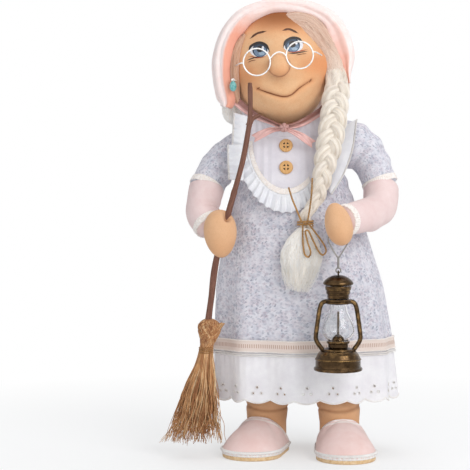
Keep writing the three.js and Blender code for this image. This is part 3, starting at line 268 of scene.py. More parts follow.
def tubes_object(name, lines, radius, look, sides=4, tint=None):
    """Many thin strands in one mesh: lines is strands x points x 3, radius the same without the 3."""
    lines = np.asarray(lines, float)
    count, steps = lines.shape[:2]
    radius = np.broadcast_to(radius, (count, steps))
    tangent = unit(np.gradient(lines, axis=1))
    side = np.where(np.abs(tangent[..., 2:3]) > 0.8, [1.0, 0.2, 0.0], [0.1, 0.2, 1.0])
    wide = unit(side - (tangent * side).sum(-1, keepdims=True) * tangent)
    deep = np.cross(tangent, wide)
    angle = rounds(sides)[0]
    rings = lines[:, :, None] + radius[..., None, None] * (
        wide[:, :, None] * np.cos(angle)[:, None] + deep[:, :, None] * np.sin(angle)[:, None])
    quads, _ = grid_faces(steps, sides, True)
    offset = np.arange(count) * steps * sides
    faces = (quads[None] + offset[:, None, None]).reshape(-1, 4).tolist()
    for ring in (np.arange(sides)[::-1], (steps - 1) * sides + np.arange(sides)):
        faces += (ring[None] + offset[:, None]).tolist()
    piece = make_object(name, rings.reshape(-1, 3), faces, look)
    tint = rng.random(count) if tint is None else tint
    paint(piece, "tint", np.repeat(tint, steps * sides))
    return piece


def join(name, pieces):
    """Several meshes as one piece of this name."""
    bpy.ops.object.select_all(action="DESELECT")
    for piece in pieces:
        piece.select_set(True)
    bpy.context.view_layer.objects.active = pieces[0]
    bpy.ops.object.join()
    pieces[0].name = pieces[0].data.name = name
    return pieces[0]


EASE_STEPS, EASE_REACH = 4, 0.45


def eased(profile, bevel):
    """A profile with its corners rounded."""
    p = np.asarray(profile, float)
    t = down(EASE_STEPS)
    out = [p[0][None]]
    for before, here, after in zip(p, p[1:], p[2:]):
        back, on = before - here, after - here
        reach = min(bevel, EASE_REACH * np.linalg.norm(back), EASE_REACH * np.linalg.norm(on))
        a, b = here + unit(back) * reach, here + unit(on) * reach
        out.append((1 - t) ** 2 * a + 2 * t * (1 - t) * here + t * t * b)
    return np.vstack([*out, p[-1][None]])


def lathe_grid(profile, centre, sides):
    """Radius and height pairs turned about an upright axis."""
    angle = rounds(sides)
    r, z = profile[:, :1], profile[:, 1:]
    spin = np.stack([r * np.cos(angle), r * np.sin(angle), z + 0 * angle], axis=-1)
    return spin + np.asarray(centre, float)


POLE_GAP = 0.02


def ball_grid(centre, size, rows, cols, swell=0.0):
    """Rings of an egg from its top to its foot; swell makes it wider below."""
    tilt = np.linspace(POLE_GAP, math.pi - POLE_GAP, rows)[:, None]
    turn = rounds(cols)
    round_it = (1 - swell * np.cos(tilt)) * np.sin(tilt)
    way = [round_it * np.cos(turn), round_it * np.sin(turn), np.cos(tilt) + 0 * turn]
    return np.stack(way, axis=-1) * np.asarray(size, float) + np.asarray(centre, float)


def dress_up(piece, body, *nodes, slot):
    """The piece rides on a body and stands for these CAD nodes."""
    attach(piece, body)
    if nodes:
        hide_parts(*nodes)
    return piece


def stuff(piece, body, node, slot):
    """A stuffed piece in place of a node."""
    dress_up(piece, body, node, slot=slot)


def lay_cloth(name, grid, look, thickness, slot, held, rests_on, nodes=(), body="doll", **form):
    """A sheet and its cut: the longest row and column, and the area that the rows cover, in metres."""
    piece = dress_up(sheet_object(name, grid, look, thickness, **form), body, *nodes, slot=slot)
    width = np.linalg.norm(np.diff(grid, axis=1), axis=2).sum(1).max() / 1000
    length = np.linalg.norm(np.diff(grid, axis=0), axis=2).sum(0).max() / 1000
    u, v = grid[1:, :-1] - grid[:-1, :-1], grid[:-1, 1:] - grid[:-1, :-1]
    area = np.linalg.norm(np.cross(u, v), axis=2).sum() / 1e6
    area = float(np.clip(area, 0.31 * width * length, width * length))
    return piece


# Materials
def rgb(code):
    """An sRGB colour code as the linear colour that a shader takes."""
    parts = np.array([int(code[i:i + 2], 16) for i in (0, 2, 4)]) / 255
    return (*np.where(parts <= 0.04045, parts / 12.92, ((parts + 0.055) / 1.055) ** 2.4).tolist(), 1.0)


def tone(colour):
    """A colour code, a colour or a socket, as a shader's input takes it."""
    return rgb(colour) if isinstance(colour, str) else colour


def mixed(a, b, share):
    """A colour code between two others."""
    pairs = [(int(a[i:i + 2], 16), int(b[i:i + 2], 16)) for i in (0, 2, 4)]
    return "".join(f"{round(mix(x, y, share)):02x}" for x, y in pairs)


class Look:
    """A Principled material, with short ways to add nodes to it."""

    def __init__(self, name, roughness=0.9, **values):
        self.material = bpy.data.materials.new(name)
        self.material.use_nodes = True
        self.tree = self.material.node_tree
        self.shader = self.tree.nodes["Principled BSDF"]
        self.heights = []
        self.fill(self.shader, {"Roughness": roughness, **values})
        self.object = self.node("TexCoord").outputs["Object"]

    def fill(self, node, values):
        for key, value in values.items():
            if isinstance(value, bpy.types.NodeSocket):
                self.tree.links.new(value, node.inputs[key])
            else:
                node.inputs[key].default_value = value

    def node(self, kind, values=None, **properties):
        node = self.tree.nodes.new("ShaderNode" + kind)
        for key, value in properties.items():
            setattr(node, key, value)
        self.fill(node, values or {})
        return node

    def uv(self):
        return self.node("UVMap", uv_map="UVMap").outputs["UV"]

    def scaled(self, vector, scale):
        return self.node("Mapping", {"Vector": vector, "Scale": scale}).outputs["Vector"]

    def noise(self, scale, detail=4.0, roughness=0.6, vector=None, distortion=0.0):
        values = {"Vector": vector or self.object, "Scale": scale, "Detail": detail, "Roughness": roughness}
        return self.node("TexNoise", {**values, "Distortion": distortion}).outputs["Fac"]

    def voronoi(self, scale, feature="F1", vector=None, randomness=1.0):
        values = {"Vector": vector or self.object, "Scale": scale, "Randomness": randomness}
        return self.node("TexVoronoi", values, feature=feature).outputs["Distance"]

    def wave(self, scale, vector, direction, distortion):
        values = {"Vector": vector, "Scale": scale, "Distortion": distortion}
        return self.node("TexWave", values, bands_direction=direction).outputs["Fac"]

    def ramp(self, factor, *stops):
        """Numbers or colour codes at places from 0 to 1."""
        node = self.node("ValToRGB", {"Fac": factor})
        elements = node.color_ramp.elements
        while len(elements) < len(stops):
            elements.new(0.5)
        for element, (position, value) in zip(elements, stops):
            element.position = position
            element.color = rgb(value) if isinstance(value, str) else (value, value, value, 1.0)
        return node.outputs["Color"]

    def mask(self, name):
        return self.node("Attribute", attribute_name=name).outputs["Fac"]

    def math(self, operation, a, b=0.5):
        return self.node("Math", {0: a, 1: b}, operation=operation).outputs[0]

    def blend(self, factor, a, b):
        return self.node("Mix", {0: factor, 6: tone(a), 7: tone(b)}, data_type="RGBA").outputs[2]

    def mottle(self, a, b, scale, detail=4.0, low=0.35, high=0.7, most=1.0, roughness=0.6):
        """One colour blotched with another by noise."""
        noise = self.noise(scale, detail, roughness)
        return self.blend(self.ramp(noise, (low, 0.0), (high, most)), a, b)

    def bump(self, height, distance, strength=1.0):
        """Adds a relief of about this depth in millimetres."""
        self.heights.append((height, distance, strength))

    def done(self, colour):
        self.fill(self.shader, {"Base Color": tone(colour)})
        normal = None
        for height, distance, strength in self.heights:
            values = {"Height": height, "Distance": distance / 1000, "Strength": strength}
            if normal:
                values["Normal"] = normal
            normal = self.node("Bump", values).outputs["Normal"]
        if normal:
            self.fill(self.shader, {"Normal": normal})
        return self.material


CLOTH = {"Sheen Weight": 0.15, "Sheen Roughness": 0.5, "Specular IOR Level": 0.2}
FELT = {"Sheen Weight": 0.35, "Sheen Roughness": 0.45, "Specular IOR Level": 0.1}
WEAVE = 900.0


def woven(look, depth=0.12):
    """The relief of a fine plain weave, from crossed waves and fibre noise."""
    warp, weft = (look.wave(WEAVE, look.object, direction, 1.5) for direction in "XZ")
    look.bump(look.math("MULTIPLY", warp, weft), depth, 0.5)
    look.bump(look.noise(2400, 3), depth * 0.6, 0.5)


def plain_cloth(name, colour, shade, depth=0.12):
    look = Look(name, 0.92, **CLOTH)
    woven(look, depth)
    slubs = look.mottle(colour, shade, 60, 5, roughness=0.65)
    return look.done(look.mottle(slubs, shade, 1500, 2, 0.4, 0.75, 0.35))


def felt_cloth(name, colour, shade, inner=None):
    """Soft felt: fibre relief and a faint blotch; a mask turns it to the inner colour."""
    look = Look(name, 0.97, **FELT)
    look.bump(look.noise(700, 6, 0.75, distortion=0.6), 0.35, 0.6)
    look.bump(look.noise(110, 4), 0.9, 0.35)
    colours = look.mottle(colour, shade, 45, 5)
    if inner:
        speck = look.math("MULTIPLY_ADD", look.noise(160, 4), 0.35)
        edge = look.math("ADD", look.mask("inward_coral"), look.math("SUBTRACT", speck, 0.52))
        colours = look.blend(look.ramp(edge, (0.15, 0.0), (0.85, 1.0)), colours, inner)
    return look.done(colours)


def skin_cloth(name, base, blush_and_shade, shade):
    """Painted stockinette: one mask holds airbrushed cheek colour and, on the face, painted shade under the
    brim; the mask shade holds painted shade.
    """
    look = Look(name, 0.78, **CLOTH)
    look.bump(look.noise(1300, 3), 0.09, 0.5)
    look.bump(look.noise(260, 3), 0.12, 0.35)
    colours = look.mottle(base, mixed(base, blush_and_shade, 0.3), 130, 5, 0.3, 0.75)
    colours = look.blend(look.mask("blush_and_shade"), colours, blush_and_shade)
    colours = look.mottle(colours, mixed(base, shade, 0.45), 1000, 3, 0.45, 0.75, 0.3, 0.7)
    return look.done(look.blend(look.mask("shade"), colours, shade))


# The print's layers: cell in millimetres, reach in it, petals, shift, how dense the ink is and its tones
PRINT = [
    (3.1, 0.34, 2.0, (0.3, 0.1, 0), 0.8, ("7f8294", "a9aab9")),
    (5.2, 0.4, 5.0, (0, 0, 0), 0.45, ("c3adb7", "dacfd5")),
    (5.2, 0.14, 3.0, (0, 0, 0), 0.5, ("85839a", "85839a")),
]


def blossoms(look, size, reach, petals, shift):
    """A printed flower to each cell of about this size in millimetres: its mask and a chance number."""
    spot = look.node("Mapping", {"Vector": look.uv(), "Location": shift, "Scale": (1 / size, 1 / size, 1)})
    spot = spot.outputs["Vector"]
    values = {"Vector": spot, "Scale": 1.0, "Randomness": 0.9}
    cell = look.node("TexVoronoi", values, voronoi_dimensions="2D")
    inside = look.node("VectorMath", {0: spot, 1: cell.outputs["Position"]}, operation="SUBTRACT")
    inside = look.node("SeparateXYZ", {0: inside.outputs["Vector"]})
    chance = look.node("SeparateColor", {0: cell.outputs["Color"]}).outputs[0]
    angle = look.math("ARCTAN2", inside.outputs["Y"], inside.outputs["X"])
    turned = look.math("ADD", look.math("MULTIPLY", angle, petals), look.math("MULTIPLY", chance, 6.0))
    lobe = look.math("MULTIPLY", look.math("COSINE", turned), 0.3 * reach)
    wide = look.math("MULTIPLY", look.math("ADD", chance, 0.5), reach)
    depth = look.math("SUBTRACT", look.math("ADD", wide, lobe), cell.outputs["Distance"])
    return look.ramp(depth, (0.0, 0.0), (0.1, 1.0)), chance


def floral_cloth():
    """A generic small all-over print: sprigs of mauve, grey-blue and rose on a mottled pale ground."""
    look = Look("floral_print", 0.92, **CLOTH)
    woven(look)
    colours = look.mottle("e2e1e7", "bfbfcb", 200, 4, 0.38, 0.62)
    for size, reach, petals, shift, share, tones in PRINT:
        flower, chance = blossoms(look, size, reach, petals, shift)
        printed = look.ramp(chance, *zip((0.2, 0.8), tones))
        colours = look.blend(look.math("MULTIPLY", flower, share), colours, printed)
    return look.done(look.mottle(colours, "e4e2e8", 110, 5, 0.42, 0.66, 0.75, 0.7))


def paling(look, colours, pale):
    """Turns hair from its darker tan, painted shade of the brim, to this pale colour from the temple down to
    the braid.
    """
    height = look.node("SeparateXYZ", {0: look.object}).outputs["Z"]
    share = look.math("MULTIPLY", look.math("SUBTRACT", height, PALE_FROM), 1 / (BRIM_SHADE_FROM - PALE_FROM))
    return look.blend(look.ramp(share, (0.0, 1.0), (1.0, 0.0)), colours, pale)


def hair_fibre(name, root, tip, pale=None):
    """Wool: fine lines along the strands from their own tint, with a pale sheen."""
    look = Look(name, 0.75, **{"Sheen Weight": 0.25, "Specular IOR Level": 0.3})
    streak = look.noise(1800, 3)
    colours = look.blend(look.mask("tint"), root, tip)
    if pale:
        colours = paling(look, colours, pale)
    look.bump(streak, 0.15, 0.5)
    return look.done(look.blend(look.ramp(streak, (0.35, 0.5), (0.65, 0.0)), colours, root))


def combed_wool(name, colour, furrow_shade, pale=None):
    """A mass of combed wool, darkened with painted shade in the low lines of its relief and, by a mask, in
    the furrows between locks.
    """
    look = Look(name, 0.85, **{"Sheen Weight": 0.3, "Specular IOR Level": 0.2})
    line = look.noise(1.0, 4, 0.7, look.scaled(look.uv(), (2.6, 0.05, 1)))
    fine = look.noise(1.0, 3, 0.7, look.scaled(look.uv(), (7.0, 0.12, 1)))
    look.bump(line, 0.5, 0.6)
    look.bump(fine, 0.22, 0.6)
    colours = look.blend(look.ramp(line, (0.35, 0.55), (0.6, 0.0)), colour, furrow_shade)
    if pale:
        colours = paling(look, colours, pale)
    return look.done(look.blend(look.mask("furrow_shade"), colours, furrow_shade))


def twine_look():
    look = Look("jute_twine", 0.9, **CLOTH)
    look.bump(look.noise(2600, 3, 0.7), 0.2, 0.7)
    return look.done(look.mottle("8d6233", "cb9f66", 900, 4, 0.3))


def satin_look():
    look = Look("satin", 0.36, **{"Sheen Weight": 0.2, "Specular IOR Level": 0.5})
    rib = look.noise(1.0, 2, 0.5, look.scaled(look.uv(), (0.1, 9.0, 1)))
    look.bump(rib, 0.05, 0.5)
    colours = look.mottle("e6bab4", "d5a19a", 120, 3)
    return look.done(look.blend(look.mask("shade"), colours, "7f4c40"))


def ribbon_look():
    """Ladder-stitch ribbon: two corded edges and a row of small stitches between them, by its UV."""
    look = Look("ladder_ribbon", 0.85, **CLOTH)
    split = look.node("SeparateXYZ", {0: look.uv()})
    along, across = split.outputs["X"], split.outputs["Y"]
    rung = look.math("PINGPONG", along, 0.85)
    middle = look.math("COMPARE", across, RIBBON_HEIGHT / 2)
    middle.node.inputs[2].default_value = 1.7
    stitch = look.math("MULTIPLY", look.math("LESS_THAN", rung, 0.4), middle)
    cord = look.math("PINGPONG", across, RIBBON_HEIGHT / 2)
    colours = look.blend(look.ramp(cord, (0.0, 1.0), (1.6 / RIBBON_HEIGHT, 0.0)), "e3d3ca", "ece2da")
    look.bump(look.noise(1800, 3), 0.1, 0.5)
    look.bump(stitch, -0.25, 0.6)
    return look.done(look.blend(stitch, colours, "c4a595"))


def lace_look(name, colour, thread):
    """Fine lace: a net of small holes drawn as recessed relief and darkened with painted shade, the colour
    passed as thread, with denser knots, by its UV.
    """
    look = Look(name, 0.9, **CLOTH)
    hole = look.voronoi(1.0, vector=look.scaled(look.uv(), (0.85, 0.85, 1)), randomness=0.35)
    knot = look.ramp(look.noise(420, 3), (0.45, 0.0), (0.6, 1.0))
    gap = look.ramp(hole, (0.12, 1.0), (0.32, 0.0))
    look.bump(gap, -0.35, 0.7)
    look.bump(knot, 0.2, 0.5)
    net = look.blend(knot, colour, mixed(colour, "ffffff", 0.4))
    return look.done(look.blend(gap, net, thread))


def wood_look(name, pale, dark):
    look = Look(name, 0.5, **{"Coat Weight": 0.15, "Coat Roughness": 0.35})
    ring = look.wave(260, look.scaled(look.object, (1.0, 0.3, 0.35)), "X", 6.0)
    grain = look.noise(900, 4, 0.6, look.scaled(look.object, (1.0, 1.0, 0.2)))
    colours = look.blend(look.ramp(ring, (0.2, 0.0), (0.9, 1.0)), pale, dark)
    look.bump(grain, 0.06, 0.5)
    return look.done(look.blend(look.ramp(grain, (0.45, 0.0), (0.7, 0.6)), colours, dark))


def cork_look():
    look = Look("cork", 0.92, **CLOTH)
    speck = look.ramp(look.voronoi(900, "SMOOTH_F1"), (0.08, 0.7), (0.2, 0.0))
    look.bump(look.voronoi(620), 0.35, 0.7)
    return look.done(look.blend(speck, look.mottle("ecd0a8", "d9b384", 300, 4, 0.35, 0.68), "a97c4e"))


def bark_look():
    look = Look("twig_bark", 0.85, **{"Specular IOR Level": 0.25})
    streak = look.noise(1.0, 5, 0.7, look.scaled(look.uv(), (1.1, 0.07, 1)))
    crack = look.noise(1.0, 4, 0.7, look.scaled(look.uv(), (2.6, 0.4, 1)))
    look.bump(streak, 0.5, 0.7)
    look.bump(crack, 0.25, 0.6)
    colours = look.blend(look.ramp(streak, (0.3, 0.0), (0.7, 1.0)), "5e3f36", "8f6656")
    colours = look.blend(look.ramp(crack, (0.28, 0.7), (0.42, 0.0)), colours, "3b2721")
    return look.done(look.blend(look.mask("cut"), colours, "a98d74"))


def straw_look():
    look = Look("broom_straw", 0.7, **{"Specular IOR Level": 0.35})
    straws = (0.0, "955f3d"), (0.45, "bd8759"), (0.8, "d4a776"), (1.0, "e4c59b")
    colours = look.ramp(look.mask("tint"), *straws)
    look.bump(look.noise(2500, 2), 0.08, 0.5)
    return look.done(look.mottle(colours, "7a4a30", 140, 4, 0.45, 0.7, 0.55))


def bronze_look():
    """Aged bronze: dark patina, rubbed brassy in streaks and where a mask asks, which holds wear on outer
    corners and painted highlights.
    """
    look = Look("aged_bronze", 0.38, **{"Metallic": 1.0})
    patch = look.noise(180, 6, 0.7)
    rub = look.math("ADD", look.mask("worn"), look.math("SUBTRACT", patch, 0.55))
    rubbed = look.ramp(rub, (0.25, 0.0), (0.75, 1.0))
    colours = look.blend(look.ramp(patch, (0.3, 0.0), (0.7, 1.0)), "33271b", "5a4630")
    rough = look.ramp(look.noise(420, 4), (0.3, 0.14), (0.75, 0.34))
    look.fill(look.shader, {"Roughness": rough})
    look.bump(look.noise(600, 4), 0.06, 0.5)
    return look.done(look.blend(rubbed, colours, "a98654"))


def wire_look(name, colour, roughness, metallic):
    look = Look(name, roughness, **{"Metallic": metallic})
    look.bump(look.noise(1800, 2), 0.02, 0.4)
    return look.done(look.mottle(colour, mixed(colour, "6a6660", 0.5), 300, 4, 0.4, 0.75, 0.5))


def glass_look():
    look = Look("lantern_glass", 0.03, **{"Transmission Weight": 1.0, "IOR": 1.45})
    look.bump(look.noise(60, 2), 0.05, 0.3)
    return look.done("fcfdfd")


def bead_look():
    look = Look("turquoise_bead", 0.2, **{"Coat Weight": 0.4, "Coat Roughness": 0.1})
    vein = look.ramp(look.voronoi(500, "DISTANCE_TO_EDGE"), (0.02, 1.0), (0.07, 0.0))
    colours = look.mottle("4fa6a8", "8fd0cc", 420, 3)
    return look.done(look.blend(look.math("MULTIPLY", vein, 0.5), colours, "3c5a58"))


def brushed_paint(name, colour, shade, roughness):
    """Brush paint on cloth, for the eyes, brows and mouth."""
    look = Look(name, roughness, **{"Specular IOR Level": 0.4})
    look.bump(look.noise(1600, 2), 0.03, 0.4)
    return look.done(look.mottle(colour, shade, 700, 3))


RIBBON_HEIGHT = 10.5
# Heights of the hair's painted brim shade: full above the upper one, gone below the lower one.
PALE_FROM, BRIM_SHADE_FROM = 0.322, 0.366
FACE_SKIN = skin_cloth("face_skin", "e8bd92", "de9563", "8c5029")
LIMB_SKIN = skin_cloth("limb_skin", "e3b78f", "d29a6e", "935c36")
BONNET_FELT = felt_cloth("bonnet_felt", "fbece8", "f6ded9", "f0ab94")
SLIPPER_FELT = felt_cloth("slipper_felt", "f6dcd7", "edcac3")
PIPING_CLOTH = felt_cloth("piping_cloth", "fdf3ef", "f5e2dc")
SEAM = felt_cloth("seam_thread", "c08f88", "a9766e")
FLORAL = floral_cloth()
LILAC_CLOTH = plain_cloth("lilac_cotton", "e9e5ea", "dad5dc")
WHITE_COTTON = plain_cloth("white_cotton", "f2f2f4", "e2e2e8")
FOREARM_CLOTH = plain_cloth("forearm_cotton", "eed9d6", "e4c8c5")
BODY_CLOTH = plain_cloth("body_cotton", "dec7ad", "cfb393")
FLOUNCE_CLOTH = plain_cloth("eyelet_cotton", "f4f2f3", "e6e2e6")
STITCH_THREAD = plain_cloth("stitch_thread", "f6f4f2", "e4ddd8", depth=0.05)
RIBBON_CLOTH = ribbon_look()
CREAM_LACE = lace_look("cream_lace", "f3eae3", "d8c8bd")
WHITE_LACE = lace_look("white_lace", "f6f1ee", "cdbcb4")
SATIN = satin_look()
# The hair's tan colours are painted shade of the brim; they pale to the last colour lower down.
HAIR_MASS = combed_wool("hair_mass", "e2c1ac", "bb917a", "f4eadd")
HAIR_FIBRE = hair_fibre("hair_fibre", "d3ac95", "efd7c7", "f7efe3")
SHADED_MASS = combed_wool("shaded_mass", "d3a88c", "b58268")
SHADED_FIBRE = hair_fibre("shaded_fibre", "c6977a", "ddb9a0")
BRAID_FIBRE = hair_fibre("braid_fibre", "ece1d2", "fbf4ec")
BRAID_MASS = combed_wool("braid_mass", "f8f0e4", "dccab4")
# A paler copy of the braid's wool, painted light: it lifts the tail out of its fibres' self-shadow and the
# cheek lock out of the brim's shadow.
LIT_WOOL_MASS = combed_wool("tail_mass", "fffaf3", "eadfd0")
LIT_WOOL_FIBRE = hair_fibre("tail_fibre", "f8f1e7", "ffffff")
JUTE = twine_look()
BUTTON_WOOD = wood_look("button_wood", "e3b578", "c08a4c")
DOWEL_WOOD = wood_look("dowel_wood", "d8bd92", "b8955f")
CORK = cork_look()
BARK = bark_look()
STRAW = straw_look()
THREAD = plain_cloth("binding_thread", "b58656", "8f6138", depth=0.05)
BRONZE = bronze_look()
STEEL_WIRE = wire_look("steel_wire", "f6f5f3", 0.3, 0.35)
BAIL_STEEL = wire_look("bail_steel", "8d8a86", 0.35, 1.0)
GLASS = glass_look()
BEAD = bead_look()
EYE_BLACK = brushed_paint("eye_black", "201a1c", "2c2422", 0.35)
# Dark discs on the buttons, painted shade in place of holes cut through them.
HOLE_SHADE = brushed_paint("hole_shade", "1a110c", "0d0806", 0.95)
EYE_WHITE = brushed_paint("eye_white", "eceaec", "d2d3dc", 0.3)
IRIS_BLUE = brushed_paint("iris_blue", "7689a0", "5c6e84", 0.25)
IRIS_PALE = brushed_paint("iris_pale", "a3b5c6", "8fa2b5", 0.25)
IRIS_EDGE = brushed_paint("iris_edge", "3f4c5e", "303a49", 0.25)
BROW_BROWN = brushed_paint("brow_brown", "4a3026", "6b4734", 0.7)
MOUTH_BROWN = brushed_paint("mouth_brown", "7a4427", "8d5533", 0.6)
LID_RED = brushed_paint("lid_red", "b0563f", "9c4632", 0.6)


# Head: stuffed cloth with cheeks, and a smile pulled in by a stitch
HEAD = np.array([-1.0, -4.0, 342.0])
HEAD_SIZE = np.array([41.0, 40.0, 50.0])
CHEEK_SWELL = 0.05
NOSE = np.array([-4.0, -45.0, 343.0])
NOSE_SIZE = np.array([10.0, 9.0, 10.3])
SMILE = [(258, 88.5), (263, 90.8), (271.6, 93.8), (283, 96.6), (291.5, 94.7), (300, 87.6), (310.5, 80.5)]
CHEEKS = [(252, 78, 17, 2.0), (306, 68, 17, 2.0), (284, 110, 22, 1.0)]
CHIN_EDGE = [(250, 111), (262, 120), (283, 127), (300, 121), (311, 112), (320, 103)]
EYE_DENTS = [(259, 50, 12, -1.1), (293, 46, 12, -1.1)]


def project(points):
    """Places in the photograph of points in the drawing frame."""
    cos, sin = math.cos(CAMERA_PITCH), math.sin(CAMERA_PITCH)
    from_camera = np.asarray(points, float) - CAMERA_PLACE
    depth = from_camera[..., 1] * cos + from_camera[..., 2] * sin
    rise = from_camera[..., 2] * cos - from_camera[..., 1] * sin
    half = IMAGE_SIDE / 2
    return half + FOCAL_PIXELS * from_camera[..., 0] / depth, half - FOCAL_PIXELS * rise / depth


def line_distance(px, py, line):
    """Least distance of places in the photograph from a line of such places."""
    dots = curve(line, 60)
    return np.sqrt((px[..., None] - dots[:, 0]) ** 2 + (py[..., None] - dots[:, 1]) ** 2).min(-1)


def head_grid():
    grid = ball_grid(HEAD, HEAD_SIZE, 150, 240, CHEEK_SWELL)
    px, py = project(grid)
    front = ease(HEAD[1] - grid[..., 1], 2, 14)
    out = np.zeros(px.shape)
    for x, y, reach, height in CHEEKS + EYE_DENTS:
        out += height * bell(np.hypot(px - x, py - y), reach)
    smile = line_distance(px, py, SMILE)
    out += 0.6 * bell(smile - 5, 3.5) - 1.1 * bell(smile, 1.5)
    out += 5.0 * bell(grid[..., 1] + 17, 9) * ease(grid[..., 2], 325, 352)
    normal = unit((grid - HEAD) / HEAD_SIZE**2)
    return grid + normal * (out * front)[..., None], px, py, front, smile


face, face_px, face_py, face_front, face_smile = head_grid()
head = grid_object("head_skin", face, FACE_SKIN)


def face_spot(x, y, reach):
    return bell(np.hypot(face_px - x, face_py - y), reach)


# Airbrushed colour on the cheeks and round the smile, warmer towards the face's rim, and painted shade in
# warm brown over the top of the forehead under the brim.
blush_and_shade = 0.8 * face_spot(250, 76, 12) + 0.8 * face_spot(310, 66, 13)
blush_and_shade += 0.35 * bell(face_smile, 4) + 0.8 * ease(42 - face_py, 0, 20)
blush_and_shade += 0.6 * ease(np.abs(face_px - 279) - 0.25 * np.abs(face_py - 60), 28, 44)
# Painted shade: in the smile's crease, over the forehead under the brim, under the nose, down the face's left
# side and along the chin above the ribbon.
shade = 0.65 * bell(face_smile, 1.1) + 0.85 * ease(34 - face_py, 0, 16)
shade += 0.3 * bell(np.hypot(face_px - 279, (face_py - 79) * 1.6), 11)
shade += 0.2 * ease(242 - face_px, 0, 8) + 0.3 * bell(line_distance(face_px, face_py, CHIN_EDGE), 2)
paint(head, "blush_and_shade", np.clip(blush_and_shade, 0, 1) * face_front)
paint(head, "shade", np.clip(shade, 0, 0.88) * face_front)
stuff(head, "doll", "head", "skin")

nose_grid = ball_grid(NOSE, NOSE_SIZE, 60, 90)
nose = grid_object("nose_skin", nose_grid, FACE_SKIN)
nose_x, nose_y = project(nose_grid)
nose_edge = np.hypot((nose_x - 279.2) / 11.3, (nose_y - 65.5) / 11.5)
nose_shade = 0.5 * ease(nose_edge, 0.8, 1.02) + 0.2 * ease(nose_y, 71, 78)
paint(nose, "blush_and_shade", 0.1 + 0.4 * bell(nose_y - 72, 7))
paint(nose, "shade", nose_shade * ease(nose_y, 55, 63))
stuff(nose, "doll", "nose", "skin")

face_quads, _ = grid_faces(*face.shape[:2], True)
face_tree = BVHTree.FromPolygons(face.reshape(-1, 3).tolist(), face_quads.tolist())
STROKE_STEPS = 40


def painted(places, look, lift):
    """A coat of paint on the face: a grid of photograph places laid on the cloth, lifted by its layer."""
    places = np.asarray(places, float)
    spots = np.zeros((*places.shape[:2], 3))
    for at in np.ndindex(places.shape[:2]):
        way = unit(sight(*places[at]))
        hit, _, _, _ = face_tree.ray_cast(Vector(CAMERA_PLACE), Vector(way))
        spots[at] = np.array(hit) - way * lift
    return grid_object("face_paint", spots, look, wrap=False)


def spot(look, lift, x, y, wide, high, tilt=0.0):
    """A painted oval."""
    turn, reach = np.linspace(0, 2 * math.pi, 33)[None], np.linspace(0.02, 1, 7)[:, None]
    u, v = reach * wide * np.cos(turn), reach * high * np.sin(turn)
    cos, sin = math.cos(tilt), math.sin(tilt)
    return painted(np.stack([x + u * cos - v * sin, y + u * sin + v * cos], axis=-1), look, lift)


def stroke(look, lift, width, line, taper=(0.25, 0.25)):
    """A brush stroke of a width in pixels that thins to its ends."""
    path = curve(line, STROKE_STEPS)
    along = np.gradient(path, axis=0)
    across = unit(np.stack([-along[:, 1], along[:, 0]], axis=1))
    t = down(STROKE_STEPS)
    wide = width * (0.12 + 0.88 * ease(t, 0, taper[0]) * ease(1 - t, 0, taper[1]))
    side = np.linspace(-0.5, 0.5, 5)
    return painted(path[:, None] + across[:, None] * (wide * side)[..., None], look, lift)


# Ovals of the eyes: paint, lift off the cloth, then centre, half sizes and tilt in each eye
EYE_SPOTS = [
    (EYE_WHITE, 0.10, (259.2, 50.4, 9.6, 6.6, 0.05), (293.4, 45.7, 9.8, 6.8, -0.1)),
    (IRIS_EDGE, 0.16, (259.9, 49.9, 7.6, 7.2), (292.4, 45.2, 7.6, 7.2)),
    (IRIS_BLUE, 0.21, (260.2, 51.4, 6.2, 5.3), (292.9, 46.7, 6.0, 5.3)),
    (EYE_BLACK, 0.26, (259.9, 49.0, 3.5, 3.3), (292.4, 44.2, 3.5, 3.3)),
    (IRIS_PALE, 0.26, (261.6, 53.4, 3.1, 1.6), (294.6, 48.8, 3.0, 1.6)),
    (EYE_WHITE, 0.31, (262.9, 47.7, 1.2, 1.5), (296.3, 43.1, 1.2, 1.4)),
]
# Lids, lashes, crow's feet, red lids and brows: paint, lift, width, then the line at each eye
EYE_STROKES = [
    (EYE_BLACK, 0.34, 2.5, [(248.4, 53), (250.8, 46.4), (259, 42.6), (266.2, 45.4), (270, 52.4)],
     [(283.2, 48), (285.8, 41.2), (292.4, 37.8), (299.2, 39), (303.8, 43.6)]),
    (EYE_BLACK, 0.34, 0.9, [(246.8, 60.4), (251, 58.8), (257, 57), (263, 57)],
     [(288, 53.4), (295, 53.2), (301, 52.2), (308.5, 51)]),
    (MOUTH_BROWN, 0.34, 0.7, [(247.5, 62.6), (252, 60.6), (256.5, 60)], [(296, 55), (302, 54), (307, 53.6)]),
    (LID_RED, 0.28, 0.9, [(248.5, 56.8), (252, 56.6), (257, 57.8), (266, 56.4)],
     [(287, 51.4), (294, 52.2), (301, 50.8), (308, 49.4)]),
    (BROW_BROWN, 0.2, 2.0, [(249.8, 38.8), (256.8, 33.6), (266.6, 31)],
     [(282.0, 30.6), (289.4, 29.2), (298.6, 33.4)]),
]
SMILE_LIFT, SMILE_ENDS = 0.2, [[(256.5, 89.5), (260, 87)], [(309, 82.8), (311.5, 78.8)]]
paints = [spot(look, lift, *eye) for look, lift, *eyes in EYE_SPOTS for eye in eyes]
paints += [stroke(look, lift, width, line) for look, lift, width, *lines in EYE_STROKES for line in lines]
paints.append(stroke(MOUTH_BROWN, SMILE_LIFT, 1.15, SMILE, (0.2, 0.3)))
paints += [stroke(MOUTH_BROWN, SMILE_LIFT, 0.9, line) for line in SMILE_ENDS]
dress_up(join("face_paint", paints), "doll", slot="skin")


